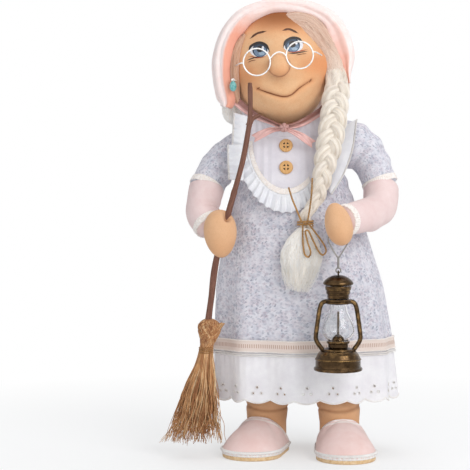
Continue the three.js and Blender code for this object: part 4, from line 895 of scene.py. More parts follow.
# Bonnet: a rolled felt brim with a crease along its front, coral inside, and a gathered crown
BRIM_Y, BRIM_HALF_DEPTH = -18.0, 10.2
BRIM_ROUTE = [(-50.5, 308), (-49.6, 314), (-53, 336), (-50.5, 363), (-35, 387), (-6, 398), (24, 395),
              (46, 382), (57, 359), (57.5, 338), (58.5, 329)]
BRIM_STEPS, BRIM_SIDES = 220, 72
CORAL_AT, CORAL = [0, 0.1, 0.3, 0.42, 0.6, 0.72, 1], [0.9, 1.0, 0.7, 0.1, 0.0, 0.08, 0.75]
CROWN = np.array([0.0, 10.0, 346.0])
CROWN_SIZE = np.array([58.0, 48.0, 57.0])
CROWN_FRONT, CROWN_FLOOR, CROWN_GATHERS = -7.7, 303.0, 26


def brim_size(share, angle):
    """A roll that thins to its ends and swells inward, creased along its front and puckered."""
    roll = mix(10, 6.6, ease(share, 0.15, 0.5)) * (0.74 + 0.28 * np.sin(math.pi * mix(0.16, 0.84, share)))
    roll = roll * ease(share, -0.06, 0.05) * mix(1, ease(1.03 - share, 0, 0.16), 0.85)
    swell = 0.16 * bell(share - 0.42, 0.3) + 1.3 * bell(share - 0.84, 0.1)
    roll = roll * (1 + swell * ease(-np.sin(angle), -0.2, 0.8))
    front = (angle + 0.45 * np.sin(5 * share + 0.5)) % (2 * math.pi) - math.pi
    crease = 1 - 0.14 * bell(front - 0.1, 0.2) - 0.1 * bell(front + 0.75, 0.16)
    crease = crease + 0.05 * bell(front - 0.6, 0.3)
    pucker = 1 + 0.025 * np.sin(31 * share + 2 * angle) + 0.02 * np.sin(57 * share - angle)
    return BRIM_HALF_DEPTH * crease * pucker, roll * crease * pucker


brim_path = curve([(x, BRIM_Y, z) for x, z in BRIM_ROUTE], BRIM_STEPS)
brim = grid_object("brim_felt", sweep(brim_path, AXIS_Y, BRIM_SIDES, brim_size), BONNET_FELT)
brim_turn = rounds(BRIM_SIDES)
# Coral on the brim's inward side, strongest towards its two lower ends and faint over the top.
inward = ease(-np.sin(brim_turn) - 0.35 * np.cos(brim_turn), 0.2, 0.55) * (np.cos(brim_turn) < 0.6)
paint(brim, "inward_coral", np.interp(down(BRIM_STEPS), CORAL_AT, CORAL) * inward)
stuff(brim, "doll", "bonnet_brim", "felt")

crown_grid = ball_grid(CROWN, CROWN_SIZE, 110, 160)
crown_way = unit(crown_grid - CROWN)
crown_turn = np.arctan2(crown_way[..., 2], crown_way[..., 0])
gather = 0.9 * np.sin(CROWN_GATHERS * crown_turn) * ease(crown_way[..., 1], 0.1, 0.9)
crown_grid = crown_grid + crown_way * (gather + 0.5 * np.sin(5 * crown_turn + 1))[..., None]
crown_grid[..., 1] = np.maximum(crown_grid[..., 1], CROWN_FRONT)
crown_grid[..., 2] = np.maximum(crown_grid[..., 2], CROWN_FLOOR)
crown = grid_object("crown_felt", crown_grid, BONNET_FELT)
stuff(crown, "doll", "bonnet_crown", "felt")


# Hair: combed wool swept from the parting to the left side, and a lock at the right cheek
LOCK_SIDES = 64
HAIR_ROUTE = [(-6, -20, 385), (16.5, -22, 382.5), (26.5, -23, 375), (33.5, -22, 366.5), (43, -20, 355),
              (47.5, -20, 340), (48.5, -24, 308)]
LOCK_ROUTE = [(-43, 3, 320), (-43.5, 3, 307), (-43, 3, 294)]
SLIVER_ROUTE = [(-34, -22, 372), (-40.5, -23, 358), (-42.5, -24, 340), (-42, -21, 322), (-39, -16, 309)]


def wander(count, steps, amount, waves=2.0):
    """A slow wave along each strand, with its own beat and place."""
    beat = waves * (0.5 + rng.random(count))
    return amount * np.sin(2 * math.pi * (beat * down(steps) + rng.random(count))) * rng.random(count)


def combed(name, path, side, size, count, thickness, mass, fibre, twist=0.0, loose=0.05, ridges=7):
    """A lock of wool: a furrowed mass with single fibres lying along it."""
    def furrowed(share, angle):
        wave = 1 + 0.05 * np.sin(ridges * angle + 9 * share)
        wave = wave + 0.03 * np.sin((2 * ridges + 3) * angle - 14 * share)
        return [0.97 * wave * half for half in size(share, angle)]

    steps, share = len(path), down(len(path))
    body = grid_object(name, sweep(path, side, LOCK_SIDES, furrowed), mass)
    # Painted shade in the mass's furrows.
    paint(body, "furrow_shade", 0.4 * ease(-np.sin(ridges * rounds(LOCK_SIDES) + 9 * share), 0.3, 1))
    angle = rng.random(count) * 2 * math.pi + wander(count, steps, 0.35) + twist * share
    grow = 0.99 + wander(count, steps, loose, 3) + 0.03 * rng.random(count)
    lines = swept_lines(path, side, size, angle, grow)
    return join(name, [body, tubes_object(name + "_fibres", lines, thickness, fibre)])


def hair_size(share, angle):
    swell = np.interp(share, [0, 0.15, 0.3, 0.5, 0.75, 1], [0.35, 0.85, 1, 0.92, 0.95, 1.1])
    swell = swell * np.sqrt(ease(1 - share, -0.01, 0.1))
    return 6.6 * swell, 9.9 * swell


def lock_size(half_width, half_depth, end):
    """The size of a lock that rounds off at both ends."""
    def size(share, angle):
        swell = np.sqrt(np.clip(1 - (2 * share - 1) ** 2, end, 1))
        return half_width * swell, half_depth * swell

    return size


hair = combed("hair_wool", curve(HAIR_ROUTE, 110), AXIS_Y, hair_size, 320, 0.33, HAIR_MASS, HAIR_FIBRE)
stuff(hair, "doll", "hair_sweep", "hair")
# The cheek lock wears the paler wool, painted light against the brim's shadow.
lock = join("lock_wool", [
    combed("lock_wool", curve(LOCK_ROUTE, 50), AXIS_Y, lock_size(7, 10, 0.05), 150, 0.33,
           LIT_WOOL_MASS, LIT_WOOL_FIBRE),
    combed("sliver_wool", curve(SLIVER_ROUTE, 60), AXIS_Y, lock_size(4.5, 4.2, 0.08), 90, 0.3,
           SHADED_MASS, SHADED_FIBRE),
])
stuff(lock, "doll", "hair_lock", "hair")

# Braid: three strands plaited, then tied, with a loose tail
BRAID_ROUTE = [(47, -26, 329), (45, -35, 308), (41.5, -43.5, 284), (36, -48, 258), (29, -49, 228),
               (19.5, -50.5, 214), (18.5, -50.5, 202)]
ROOT_ROUTE = [(46, -14, 354), (48, -20, 339), (47, -27, 325), (45.5, -31, 312)]
BRAID_STEPS, BRAID_RADIUS, STRAND_SIDE = 240, 12.0, (0, 1, 0.3)
PLAIT_PERIOD, PLAIT_WIDTH, PLAIT_DEPTH = 41.0, 6.6, 3.2
TIE, TIE_RADIUS = np.array([18.5, -50.5, 206.0]), 5.5


def braid_taper(share):
    return mix(1, TIE_RADIUS / BRAID_RADIUS, ease(share, 0.35, 0.96))


def strand_size(share, angle):
    taper = braid_taper(share) * np.sqrt(ease(share, -0.01, 0.08))
    return 6.0 * taper, 5.4 * taper


def root_size(share, angle):
    ends = ease(share, -0.02, 0.3) * ease(1.02 - share, 0, 0.25)
    return mix(7.5, 5.5, share) * ends, mix(11.5, 8.5, share) * ends


braid_path, braid_share = curve(BRAID_ROUTE, BRAID_STEPS), down(BRAID_STEPS)
braid_deep = np.cross(unit(np.gradient(braid_path, axis=0)), AXIS_X)
strands = []
for which in range(3):
    turn = 2 * math.pi * (braid_share * running(braid_path)[-1] / PLAIT_PERIOD + which / 3)
    weave = AXIS_X * PLAIT_WIDTH * np.sin(turn) + braid_deep * PLAIT_DEPTH * np.sin(2 * turn)
    route = braid_path + weave * braid_taper(braid_share)
    strands.append(combed(f"strand_{which}", route, STRAND_SIDE, strand_size, 80, 0.2, BRAID_MASS,
                          BRAID_FIBRE, twist=2.5, loose=0.03, ridges=6))
strands.append(combed("braid_root", curve(ROOT_ROUTE, 80), STRAND_SIDE, root_size, 130, 0.24, BRAID_MASS,
                      BRAID_FIBRE, twist=0.8, loose=0.03, ridges=5))
stuff(join("braid_wool", strands), "doll", "braid", "wool")

TAIL_ROUTE = [(18.5, -50.5, 201.7), (15.5, -52, 181), (12, -53, 147)]
TAIL_STEPS, TAIL_SIDES, TAIL_LOCKS, LOOSE = 60, 90, 9, 620


def tail_size(share, angle):
    swell = np.interp(share, [0, 0.2, 0.4, 0.6, 0.8, 1], [0, 0.65, 1, 1, 0.8, 0.45])
    return mix(TIE_RADIUS, 16.8, swell), mix(TIE_RADIUS, 7.2, swell)


def tail_core(share, angle):
    close = np.sqrt(np.clip(1 - (np.maximum(share - 0.35, 0) / 0.6) ** 2, 0.004, 1))
    wave = 1 + 0.04 * np.sin(TAIL_LOCKS * angle + 4 * share) + 0.025 * np.sin(23 * angle - 6 * share)
    return [0.97 * size * close * wave for size in tail_size(share, angle)]


# The tail wears the paler wool, painted light against its fibres' self-shadow.
tail_path, tail_share = curve(TAIL_ROUTE, TAIL_STEPS), down(TAIL_STEPS)
tail_mass = grid_object("tail_mass", sweep(tail_path, AXIS_X, TAIL_SIDES, tail_core), LIT_WOOL_MASS)
# Painted shade in the furrows between the tail's locks.
paint(tail_mass, "furrow_shade", 0.35 * ease(-np.sin(TAIL_LOCKS * rounds(TAIL_SIDES)), 0.3, 1) + 0 * tail_share)
tail_angle = rng.random(LOOSE) * 2 * math.pi + wander(LOOSE, TAIL_STEPS, 0.2)
tail_reach = 0.98 + 0.08 * rng.random(LOOSE) + wander(LOOSE, TAIL_STEPS, 0.05, 3)
tail_reach = tail_reach * (1 - 0.85 * rng.random(LOOSE) * ease(tail_share, 0.45, 1))
tail_lines = swept_lines(tail_path, AXIS_X, tail_size, tail_angle, tail_reach)
tail_ends = (0.62 + 0.4 * rng.random(LOOSE) ** 0.8)[:, None] * tail_share.T
tail_lines = np.stack([np.stack([np.interp(end, tail_share[:, 0], values) for values in line.T], axis=1)
                       for line, end in zip(tail_lines, tail_ends)])
tail_fibres = tubes_object("tail_fibres", tail_lines, np.linspace(0.26, 0.1, TAIL_STEPS)[None], LIT_WOOL_FIBRE)
stuff(join("tail_wool", [tail_mass, tail_fibres]), "doll", "braid_tail", "wool")


# Twine: three yarns laid round each other, wound on the braid and tied in a bow
TWINE_RADIUS = 0.75


def laid_cord(name, line, radius=TWINE_RADIUS, look=JUTE, lay=4.0):
    """Three yarns along a line, laid round each other once in so many radii."""
    along = running(line)
    tangent = unit(np.gradient(line, axis=0))
    wide = unit(np.cross(tangent, (0.31, 0.9, 0.3)))
    deep = np.cross(tangent, wide)
    yarns = []
    for which in range(3):
        turn = (2 * math.pi * (along / (lay * radius) + which / 3))[:, None]
        yarns.append(line + 0.55 * radius * (wide * np.cos(turn) + deep * np.sin(turn)))
    return tubes_object(name, np.stack(yarns), 0.65 * radius, look, 6)


tie = join("twine_wound", [
    laid_cord("twine_coil", winding(TIE, TIE_RADIUS + 0.3 + TWINE_RADIUS, 2, 2.1, 200)),
    laid_cord("twine_knot", loop((18.4, -57.9, 206.4), (1.6, 0, 0), (0, -0.9, 1.3), 60)),
])
dress_up(tie, "doll", "twine_winding", slot="jute")

TWINE_ROUTES = {
    "twine_end_right": [(15, -57.9, 207.5), (11, -59.5, 217), (7, -58, 227), (4, -54, 237)],
    "twine_end_left": [(20, -58.6, 207.7), (22, -60.5, 220), (23.5, -61, 233), (24, -60, 245)],
    "twine_loops": [(21.5, -58.1, 205.4), (27, -61, 198), (33.5, -61, 189), (36, -60, 182.5), (33, -60, 179),
                    (29, -61, 183), (24, -62.5, 193), (20.5, -63, 200), (18, -63, 199), (20, -63.5, 190),
                    (22.5, -63, 182), (21, -62, 177.5), (17.5, -61.5, 180), (16, -61, 191), (16, -58.3, 205)],
}
for node, route in TWINE_ROUTES.items():
    line = curve(route, 160 if node == "twine_loops" else 60)
    piece = laid_cord(node + "_yarn", line)
    dress_up(piece, "doll", node, slot="jute")


# Dress: one surface of stations carries the dress, its hem ribbon and its eyelet flounce
# Stations: height, sideways centre, half width and half depth
STATIONS = np.array([[48, 21, 81, 47], [98, 19, 80, 46], [150, 15, 75, 44], [205, 11, 62, 40],
                     [255, 8, 46, 33], [283, 8, 38, 25], [291, 3, 19, 17]], float)
FOLDS = 11
HEM_Z, FLOUNCE_Z, WAIST_Z, NECKLINE_Z = 98.0, 48.0, 205.0, 291.0


def body_at(z):
    """Sideways centre, half width and half depth of the dress, its stations eased into each other."""
    near = np.asarray(z, float)[..., None] + np.linspace(-7, 7, 7)
    return [np.interp(near, STATIONS[:, 0], STATIONS[:, k]).mean(-1) for k in (1, 2, 3)]


def fold_at(angle, z):
    skirt = 1.8 * ease(WAIST_Z - z, 0, WAIST_Z - HEM_Z) + 1.2 * ease(HEM_Z - z, 0, HEM_Z - FLOUNCE_Z)
    drape = 0.9 * np.sin(3 * angle + 0.8) * np.sin(0.045 * z + 2 * angle) * ease(280 - z, 0, 60)
    return skirt * np.cos(FOLDS * angle + 0.25 * np.sin(2 * angle)) + 0.5 * drape


def dress_point(angle, z, offset):
    x, w, d = body_at(z)
    out = fold_at(angle, z) + offset
    return np.stack([x + (w + out) * np.cos(angle), (d + out) * np.sin(angle), z + 0 * angle], axis=-1)


def band(top, bottom, rows, cols, offset):
    """Rows round the dress from a top height to a bottom height, either of which may vary round it."""
    angle, share = rounds(cols), down(rows)
    z = mix(top, bottom, share) + 0 * angle
    return dress_point(angle + 0 * share, z, offset(angle, share, z) if callable(offset) else offset)


def crumple(angle, share, z):
    """Soft creases under the arms and at the waist."""
    waist = 0.7 * np.sin(9 * angle + 0.08 * z) * bell(z - 208, 22)
    arm = 0.8 * np.sin(0.42 * z + 3 * angle) * bell(z - 248, 20) * np.abs(np.cos(angle)) ** 3
    return waist + arm


RIBBON_COLS = 500
dress_grid = band(NECKLINE_Z, HEM_Z - 4, 190, 340, crumple)
lay_cloth("dress_cloth", dress_grid, FLORAL, 1.4, "floral", "gathered", "torso", ["dress"], wrap=True)
ribbon_grid = band(HEM_Z + RIBBON_HEIGHT / 2, HEM_Z - RIBBON_HEIGHT / 2, 22, RIBBON_COLS, 1.5)
lay_cloth("hem_ribbon_cloth", ribbon_grid, RIBBON_CLOTH, 1.0, "peach", "gathered", "dress", ["hem_ribbon"],
          wrap=True)
edges = [laid_cord("ribbon_edge", closed(row), 0.5, CREAM_LACE)
         for row in band(HEM_Z + 5.0, HEM_Z - 5.0, 2, RIBBON_COLS, 1.7)]
edges += [laid_cord("ribbon_foot", closed(row), 0.55, STITCH_THREAD)
          for row in band(HEM_Z - 7.2, HEM_Z - 8.6, 2, RIBBON_COLS, 1.2)]
dress_up(join("hem_ribbon_edges", edges), "doll", slot="peach")

# Eyelet flounce: holes cut through, each with a worked ring, and a worked scalloped edge
SCALLOPS, SCALLOP_DEPTH = 22, 3.0
FLOUNCE_ROWS, FLOUNCE_COLS = 96, 990
EYELETS = [(-0.043, 56.6, 0.85), (0.043, 56.6, 0.85), (0.0, 61.8, 1.0)]
EYELET_LIFT, EYELET_RIM, EYELET_THREAD = 0.4, 0.25, 0.42


def scallop(angle):
    return FLOUNCE_Z + SCALLOP_DEPTH * (1 - np.abs(np.sin(SCALLOPS / 2 * angle)))


def flounce_offset(angle, share, z):
    return 0.25 * np.sin(66 * angle) * (1 - share) ** 2 + 0.5 * np.sin(7 * angle + 1) * share


flounce_grid = band(HEM_Z - 1.0, scallop(rounds(FLOUNCE_COLS)), FLOUNCE_ROWS, FLOUNCE_COLS, flounce_offset)
quads, _ = grid_faces(FLOUNCE_ROWS, FLOUNCE_COLS, True)
middles = flounce_grid.reshape(-1, 3)[quads].mean(1)
whole = np.ones(len(quads), bool)
eyelet_rings = []
for which in range(SCALLOPS):
    for shift, height, hole in EYELETS:
        angle = (which + 0.5) * 2 * math.pi / SCALLOPS + shift
        seat = dress_point(angle, height, EYELET_LIFT)
        whole &= np.linalg.norm(middles - seat, axis=1) > hole
        along = unit(dress_point(angle + 0.01, height, EYELET_LIFT) - seat)
        reach = hole + EYELET_RIM
        eyelet_rings.append(loop(seat, reach * along, reach * AXIS_Z, 17))
lay_cloth("hem_flounce_cloth", flounce_grid, FLOUNCE_CLOTH, 0.7, "cotton", "gathered", "dress",
          ["hem_flounce"], wrap=True, keep=whole)
stitching = join("flounce_stitching", [
    tubes_object("eyelet_rings", np.stack(eyelet_rings), EYELET_THREAD, STITCH_THREAD, 5),
    laid_cord("scallop_edge", closed(flounce_grid[-1]), 0.75, STITCH_THREAD, 3.0),
])
dress_up(stitching, "doll", slot="cotton")


# Chest trims: bib, lace, ruffle, buttons and shoulder flounces
BIB_X, BIB_TOP, BIB_HALF_WIDTH, BIB_DROP, BIB_EDGE = 2.5, 278.0, 33.0, 47.0, 290.0
BIB_CLOTH, TRIM_START, CHEST_SPREAD = 1.6, 0.85, 1.6
BIB_ROWS, BIB_COLS, LACE_ROWS, LACE_COLS, RUFFLE_ROWS, RUFFLE_COLS = 80, 90, 12, 260, 26, 420
PLEATS, SMALL_PLEATS = 15, 34


def front_point(x, z, offset):
    bx, w, d = body_at(z)
    share = (x - bx) / (CHEST_SPREAD * (w + offset))
    y = -(d + offset) * np.sqrt(np.maximum(1 - share**2, 0.02))
    return np.stack([x + 0 * y, y, z + 0 * y], axis=-1)


def bib_point(reach, angle, offset):
    x = BIB_X + reach * BIB_HALF_WIDTH * np.cos(angle)
    return front_point(x, BIB_TOP - reach * BIB_DROP * np.sin(angle), offset)


bib_turn = np.linspace(0.06, math.pi - 0.06, BIB_COLS)[None]
bib_x = BIB_X + BIB_HALF_WIDTH * np.cos(bib_turn) + 0 * down(BIB_ROWS)
bib_z = mix(BIB_EDGE, BIB_TOP - BIB_DROP * np.sin(bib_turn), down(BIB_ROWS))
tuck = 0.35 * np.sin(0.9 * (bib_x - BIB_X)) * bell(np.abs(bib_x - BIB_X) - 20, 9)
bib_grid = front_point(bib_x, bib_z, 0.5 + BIB_CLOTH + tuck)
lay_cloth("bib_cloth", bib_grid, LILAC_CLOTH, 1.2, "lilac", "laid", "dress", ["bib"])

lace_turn, lace_out = np.linspace(TRIM_START, math.pi, LACE_COLS)[None], down(LACE_ROWS)
picot = 0.012 * np.abs(np.sin(42 * lace_turn)) * (1 - lace_out)
lace_grid = bib_point(mix(0.9, 1.0, lace_out) - picot, lace_turn, 0.8 + BIB_CLOTH + 0.8)
lay_cloth("bib_lace_net", lace_grid, CREAM_LACE, 0.5, "lace", "laid", "bib", ["bib_lace"])

ruffle_share, ruffle_out = down(RUFFLE_COLS).T, down(RUFFLE_ROWS)
pleat = np.sin(2 * math.pi * PLEATS * ruffle_share + 1.2 * np.sin(9 * ruffle_share))
pleat = pleat + 0.4 * np.sin(2 * math.pi * SMALL_PLEATS * ruffle_share) * (1 - 0.6 * ruffle_out)
ruffle_reach = mix(1.0, 1.335, ruffle_out) + 0.012 * pleat * ruffle_out
ruffle_lift = 0.9 + BIB_CLOTH + 1.7 * ruffle_out**0.7 * (1 + 0.8 * pleat) + 0.8 * bell(ruffle_out - 0.1, 0.1)
ruffle_grid = bib_point(ruffle_reach, mix(TRIM_START, math.pi, ruffle_share), ruffle_lift)
lay_cloth("bib_ruffle_cloth", ruffle_grid, WHITE_COTTON, 0.8, "cotton", "gathered", "dress", ["bib_ruffle"])

# Four-hole buttons, each square to the chest at its height
BUTTONS = {"button_upper": 273.0, "button_lower": 254.0}
BUTTON_PROFILE = [(0.02, 2.55), (2.9, 2.55), (3.7, 3.0), (4.6, 3.05), (5.6, 2.6), (6.0, 1.9), (6.0, 1.3),
                  (5.5, 0.8), (0.02, 0.8)]
BUTTON_LIFT, HOLE_LIFT, HOLE_SPACING, HOLE_RADIUS = 1.52, 4.12, 1.7, 0.95
button_form = lathe_grid(eased(BUTTON_PROFILE, 0.4), (0, 0, 0), 48)
hole_form = np.linspace(0.05, HOLE_RADIUS, 4)[:, None, None] * loop((0, 0, 0), AXIS_X, AXIS_Y, 17)
for node, height in BUTTONS.items():
    seat = front_point(BIB_X, height, 0)
    across = front_point(BIB_X + 1, height, 0) - front_point(BIB_X - 1, height, 0)
    normal = unit(np.cross(across, front_point(BIB_X, height + 1, 0) - front_point(BIB_X, height - 1, 0)))
    side = unit(np.cross(AXIS_Z, normal))
    axes = np.array([side, np.cross(normal, side), normal])
    disc = seat + (button_form + (0, 0, BUTTON_LIFT)) @ axes
    parts = [grid_object(node + "_disc", disc, BUTTON_WOOD, caps=False)]
    # The four holes: dark discs on the button's face, painted shade in place of holes cut through.
    for a, b in ((-1, -1), (-1, 1), (1, -1), (1, 1)):
        hole = hole_form + (HOLE_SPACING * a, HOLE_SPACING * b, HOLE_LIFT)
        parts.append(grid_object(node + "_hole", seat + hole @ axes, HOLE_SHADE, wrap=False))
    dress_up(join(node + "_wood", parts), "doll", node, slot="wood")


def on_dress(x, z):
    bx, w, d = body_at(z)
    return (x, -d * math.sqrt(1 - ((x - bx) / w) ** 2) - 0.3, z)


# Shoulder flounces: sewn edge, free edge, folds, bulge, ripple and the node that each stands for
SHOULDER_FLOUNCES = {
    "flounce_left_cloth": (
        [on_dress(37, 283), on_dress(37, 264), on_dress(38, 236)],
        [(65, -23, 297), (61, -28, 271), (53, -32, 249), (42, -36, 231)],
        0, 2.2, 0.4, ["shoulder_flounce_left"]),
    "flounce_right_cloth": (
        [(-31, -25.5, 299.5), (-33, -28.5, 286), (-34, -31, 269)],
        [(-43, -22.5, 303), (-43.8, -25, 288), (-44.6, -28, 271.5)],
        1, 0.8, 1.0, ["shoulder_flounce_right"]),
    "flounce_lower_cloth": (
        [(-32, -31.5, 275), (-33.5, -33.6, 262), (-35, -35, 243)],
        [(-48.5, -28.5, 274.5), (-48.2, -31, 262), (-47.5, -32, 244)],
        1, 1.2, 1.6, []),
}
SHOULDER_ROWS, SHOULDER_COLS = 90, 26
for name, (inner, outer, folds, bulge, ripple, nodes) in SHOULDER_FLOUNCES.items():
    u, v = down(SHOULDER_COLS).T, down(SHOULDER_ROWS)
    grid = mix(curve(inner, SHOULDER_ROWS)[:, None], curve(outer, SHOULDER_ROWS)[:, None], u[..., None])
    puff = bulge * np.sin(math.pi * u) + np.abs(np.sin(math.pi * folds * v)) * 2 * u
    grid[..., 1] -= puff + ripple * u * (0.5 + 0.5 * np.sin(2 * math.pi * (5.3 * v + 0.1))) + 0.9
    lay_cloth(name, grid, WHITE_COTTON, 0.9, "cotton", "hung", "dress", nodes)
    dress_up(laid_cord(name + "_piping", grid[:, -1], 0.8, STITCH_THREAD), "doll", slot="cotton")


# Arms: floral sleeves, elbow lace, stuffed forearms, wrist trims and mitten hands
ARMS = {
    "right": {"sleeve": [(-24, 0, 280), (-54, -3, 258), (-69, -14, 235)],
              "forearm": [(-67.5, -14, 237), (-71, -24, 215), (-64, -35, 202)], "puff": 0.0},
    "left": {"sleeve": [(40, -2, 285), (74, -5, 267), (88, -13, 238)],
             "forearm": [(88, -14, 236), (82, -34, 217), (50, -70, 208.8)], "puff": 4.2},
}
SLEEVE_RADIUS, FOREARM_RADIUS, SLEEVE_STEPS, FOREARM_STEPS = 16.5, 14.5, 90, 80
CUFF_WIDTH, CUFF_ROWS, CUFF_COLS, LIMB_STEPS = 6.0, 14, 260, 200


def sleeve_radius(share):
    return SLEEVE_RADIUS * (0.86 + 0.16 * np.sin(0.9 * math.pi * np.minimum(0.15 + share, 1)))


def forearm_radius(share):
    swell = 0.9 + 0.14 * np.sin(math.pi * share) - 0.06 * share + 0.15 * ease(0.4 - share, 0, 0.4)
    return FOREARM_RADIUS * swell


# The bands: what they trim, its radius, how far out they lie, and the number and height of their waves
CUFFS = {"elbow_lace": ("sleeve", sleeve_radius, 0.7, 26, 0.15),
         "wrist_trim": ("forearm", forearm_radius, 1.0, 22, 0.2)}


def sleeve_size(puff):
    def size(share, angle):
        crease = 0.55 * np.sin(34 * share + 2 * np.sin(angle)) * (1 + np.cos(angle - 2.6))
        radius = sleeve_radius(share) * 1.015 + crease * bell(share - 0.55, 0.3)
        radius = radius + puff * bell(share - 0.34, 0.2)
        return radius, radius

    return size


def forearm_size(share, angle):
    crease = 0.35 * np.sin(26 * share + 1.5 * np.cos(angle)) * (1 + np.cos(angle - 1))
    radius = forearm_radius(share) * 1.01 + crease * bell(share - 0.5, 0.25)
    return radius, radius


def cuff(route, radius_at, out, waves, frill):
    """A band round the end of a limb, its free edge waved."""
    path = curve(route, LIMB_STEPS)
    start = 1 - CUFF_WIDTH / running(path)[-1]
    part = resample(path[int(start * (LIMB_STEPS - 1)):], CUFF_ROWS)

    def size(share, angle):
        wave = frill * ease(share, 0, 1) * np.sin(waves * angle) + 0.25 * np.sin(2 * waves * angle)
        radius = radius_at(mix(start, 1, share)) + out + wave
        return radius, radius

    return sweep(part, AXIS_Y, CUFF_COLS, size)


for side, arm in ARMS.items():
    body = side + "_arm"
    grid = sweep(curve(arm["sleeve"], SLEEVE_STEPS), AXIS_Y, SLEEVE_STEPS, sleeve_size(arm["puff"]))
    sleeve = grid_object(f"sleeve_{side}_cloth", grid, FLORAL)
    stuff(sleeve, body, f"sleeve_{side}", "floral")
    grid = sweep(curve(arm["forearm"], FOREARM_STEPS), AXIS_Y, FOREARM_STEPS, forearm_size)
    forearm = grid_object(f"forearm_{side}_cloth", grid, FOREARM_CLOTH)
    stuff(forearm, body, f"forearm_{side}", "body_cloth")
    for trim, (limb, radius_at, out, waves, frill) in CUFFS.items():
        grid = cuff(arm[limb], radius_at, out, waves, frill)
        lay_cloth(f"{trim}_{side}_net", grid, CREAM_LACE, 0.7, "lace", "gathered", f"{limb}_{side}",
                  [f"{trim}_{side}"], body, wrap=True)


def mitten(name, centre, size, lean, taper, hollows=()):
    """A stuffed mitten: an egg turned in the picture's plane, with hollows pressed into its front."""
    cos, sin = math.cos(lean), math.sin(lean)
    turned = np.array([[cos, 0, sin], [0, 1, 0], [-sin, 0, cos]])
    grid = ball_grid((0, 0, 0), size, 90, 120, taper) @ turned + centre
    px, py = project(grid)
    front = ease(centre[1] - grid[..., 1], 0, 5)
    pressed = np.zeros(px.shape)
    for line, width, depth in hollows:
        pressed += depth * bell(line_distance(px, py, line), width) * front
    grid = grid - unit(grid - centre) * pressed[..., None]
    piece = grid_object(name, grid, LIMB_SKIN)
    paint(piece, "shade", 0.5 * pressed / max(pressed.max(), 1))
    paint(piece, "blush_and_shade", 0.1 + 0.4 * ease(centre[2] - grid[..., 2], -5, 16))
    return piece


RIGHT_HAND, RIGHT_HAND_SIZE = np.array([-55.0, -48.0, 197.0]), np.array([14.0, 12.0, 20.5]) * 1.02
LEFT_HAND, LEFT_HAND_SIZE = np.array([45.4, -76.0, 206.0]), np.array([12.0, 13.0, 18.6]) * (0.96, 1, 1)
STICK_HOLLOW = ([(226.5, 206), (227.5, 212), (228, 217)], 3.4, 6.5)
right_hand = mitten("hand_right_skin", RIGHT_HAND, RIGHT_HAND_SIZE, 0.06, -0.12, [STICK_HOLLOW])
stuff(right_hand, "right_arm", "hand_right", "skin")
left_hand = mitten("hand_left_skin", LEFT_HAND, LEFT_HAND_SIZE, 0.26, 0.1)
stuff(left_hand, "left_arm", "hand_left", "skin")


# Body inside the clothes, legs and the dowels in them
TORSO_AT, TORSO_WIDTH, TORSO_DEPTH = [104, 128, 205, 300], [42, 53, 59, 60], [27, 34, 37, 40]
TORSO_TOP, SEAT_Z, CLOTH_ROOM = 304.0, 104.0, 3
torso_z, torso_turn = np.linspace(TORSO_TOP, SEAT_Z, 60)[:, None], rounds(80)
torso_x, torso_w, torso_d = body_at(torso_z)
torso_w = np.minimum(np.interp(torso_z, TORSO_AT, TORSO_WIDTH), torso_w - CLOTH_ROOM)
torso_d = np.minimum(np.interp(torso_z, TORSO_AT, TORSO_DEPTH), torso_d - CLOTH_ROOM)
torso_rings = [torso_x + torso_w * np.cos(torso_turn), torso_d * np.sin(torso_turn), torso_z + 0 * torso_turn]
torso = grid_object("torso_cloth", np.stack(torso_rings, axis=-1), BODY_CLOTH)
stuff(torso, "doll", "torso", "body_cloth")

FEET = {"right": {"ankle": (-13.5, -2.0), "hip": (-2.0, 0.0), "yaw": -0.42},
        "left": {"ankle": (51.0, -14.0), "hip": (36.0, 0.0), "yaw": 0.1}}
LEG_RADIUS, LEG_STEPS, LEG_SIDES, CREASE = 20.5, 120, 80, 0.695
DOWEL_RADIUS, DOWEL_TOP = 4.0, 138.0
SOLE, HEEL_RADIUS, TOE_RADIUS, FOOT_REACH = 4.7, 20.0, 26.0, 34.0
VAMP_TOP, VAMP_BACK, VAMP_FRONT = 31.5, -9.0, 19.5
ON_SOLE = SOLE + 0.3


def leg_crease(share, angle):
    return bell(share - CREASE + 0.012 * np.cos(2 * angle), 0.012)


def leg_size(share, angle):
    radius = LEG_RADIUS * (0.86 + 0.14 * np.sin(math.pi * np.minimum(share * 1.25, 1)))
    radius = radius * 1.005 - 0.9 * leg_crease(share, angle)
    return radius, radius


for side, foot in FEET.items():
    ankle, hip = np.array(foot["ankle"]), np.array(foot["hip"])
    knee = mix(hip, ankle, 0.85)
    route = [(*hip, SEAT_Z + 12), (*knee, (SEAT_Z + ON_SOLE) / 2), (*ankle, VAMP_TOP), (*ankle, ON_SOLE)]
    grid = sweep(curve(route, LEG_STEPS), AXIS_X, LEG_SIDES, leg_size)
    height = grid[..., 2]
    leg = grid_object(f"leg_{side}_skin", grid, LIMB_SKIN)
    crease = leg_crease(down(LEG_STEPS), rounds(LEG_SIDES))
    paint(leg, "blush_and_shade", 0.2 + 0.5 * bell(height - 54, 10) + 0.4 * bell(height - 30, 8))
    paint(leg, "shade", 0.55 * crease + 0.45 * ease(height, 42, 62))
    stuff(leg, "doll", f"leg_{side}", "skin")
    rod = resample(np.array([(*ankle, ON_SOLE), (*hip, DOWEL_TOP)]), 30)
    dowel = grid_object(f"dowel_{side}", sweep(rod, AXIS_X, 32, even(DOWEL_RADIUS)), DOWEL_WOOD)
    dress_up(dowel, "doll", f"leg_dowel_{side}", slot="wood")


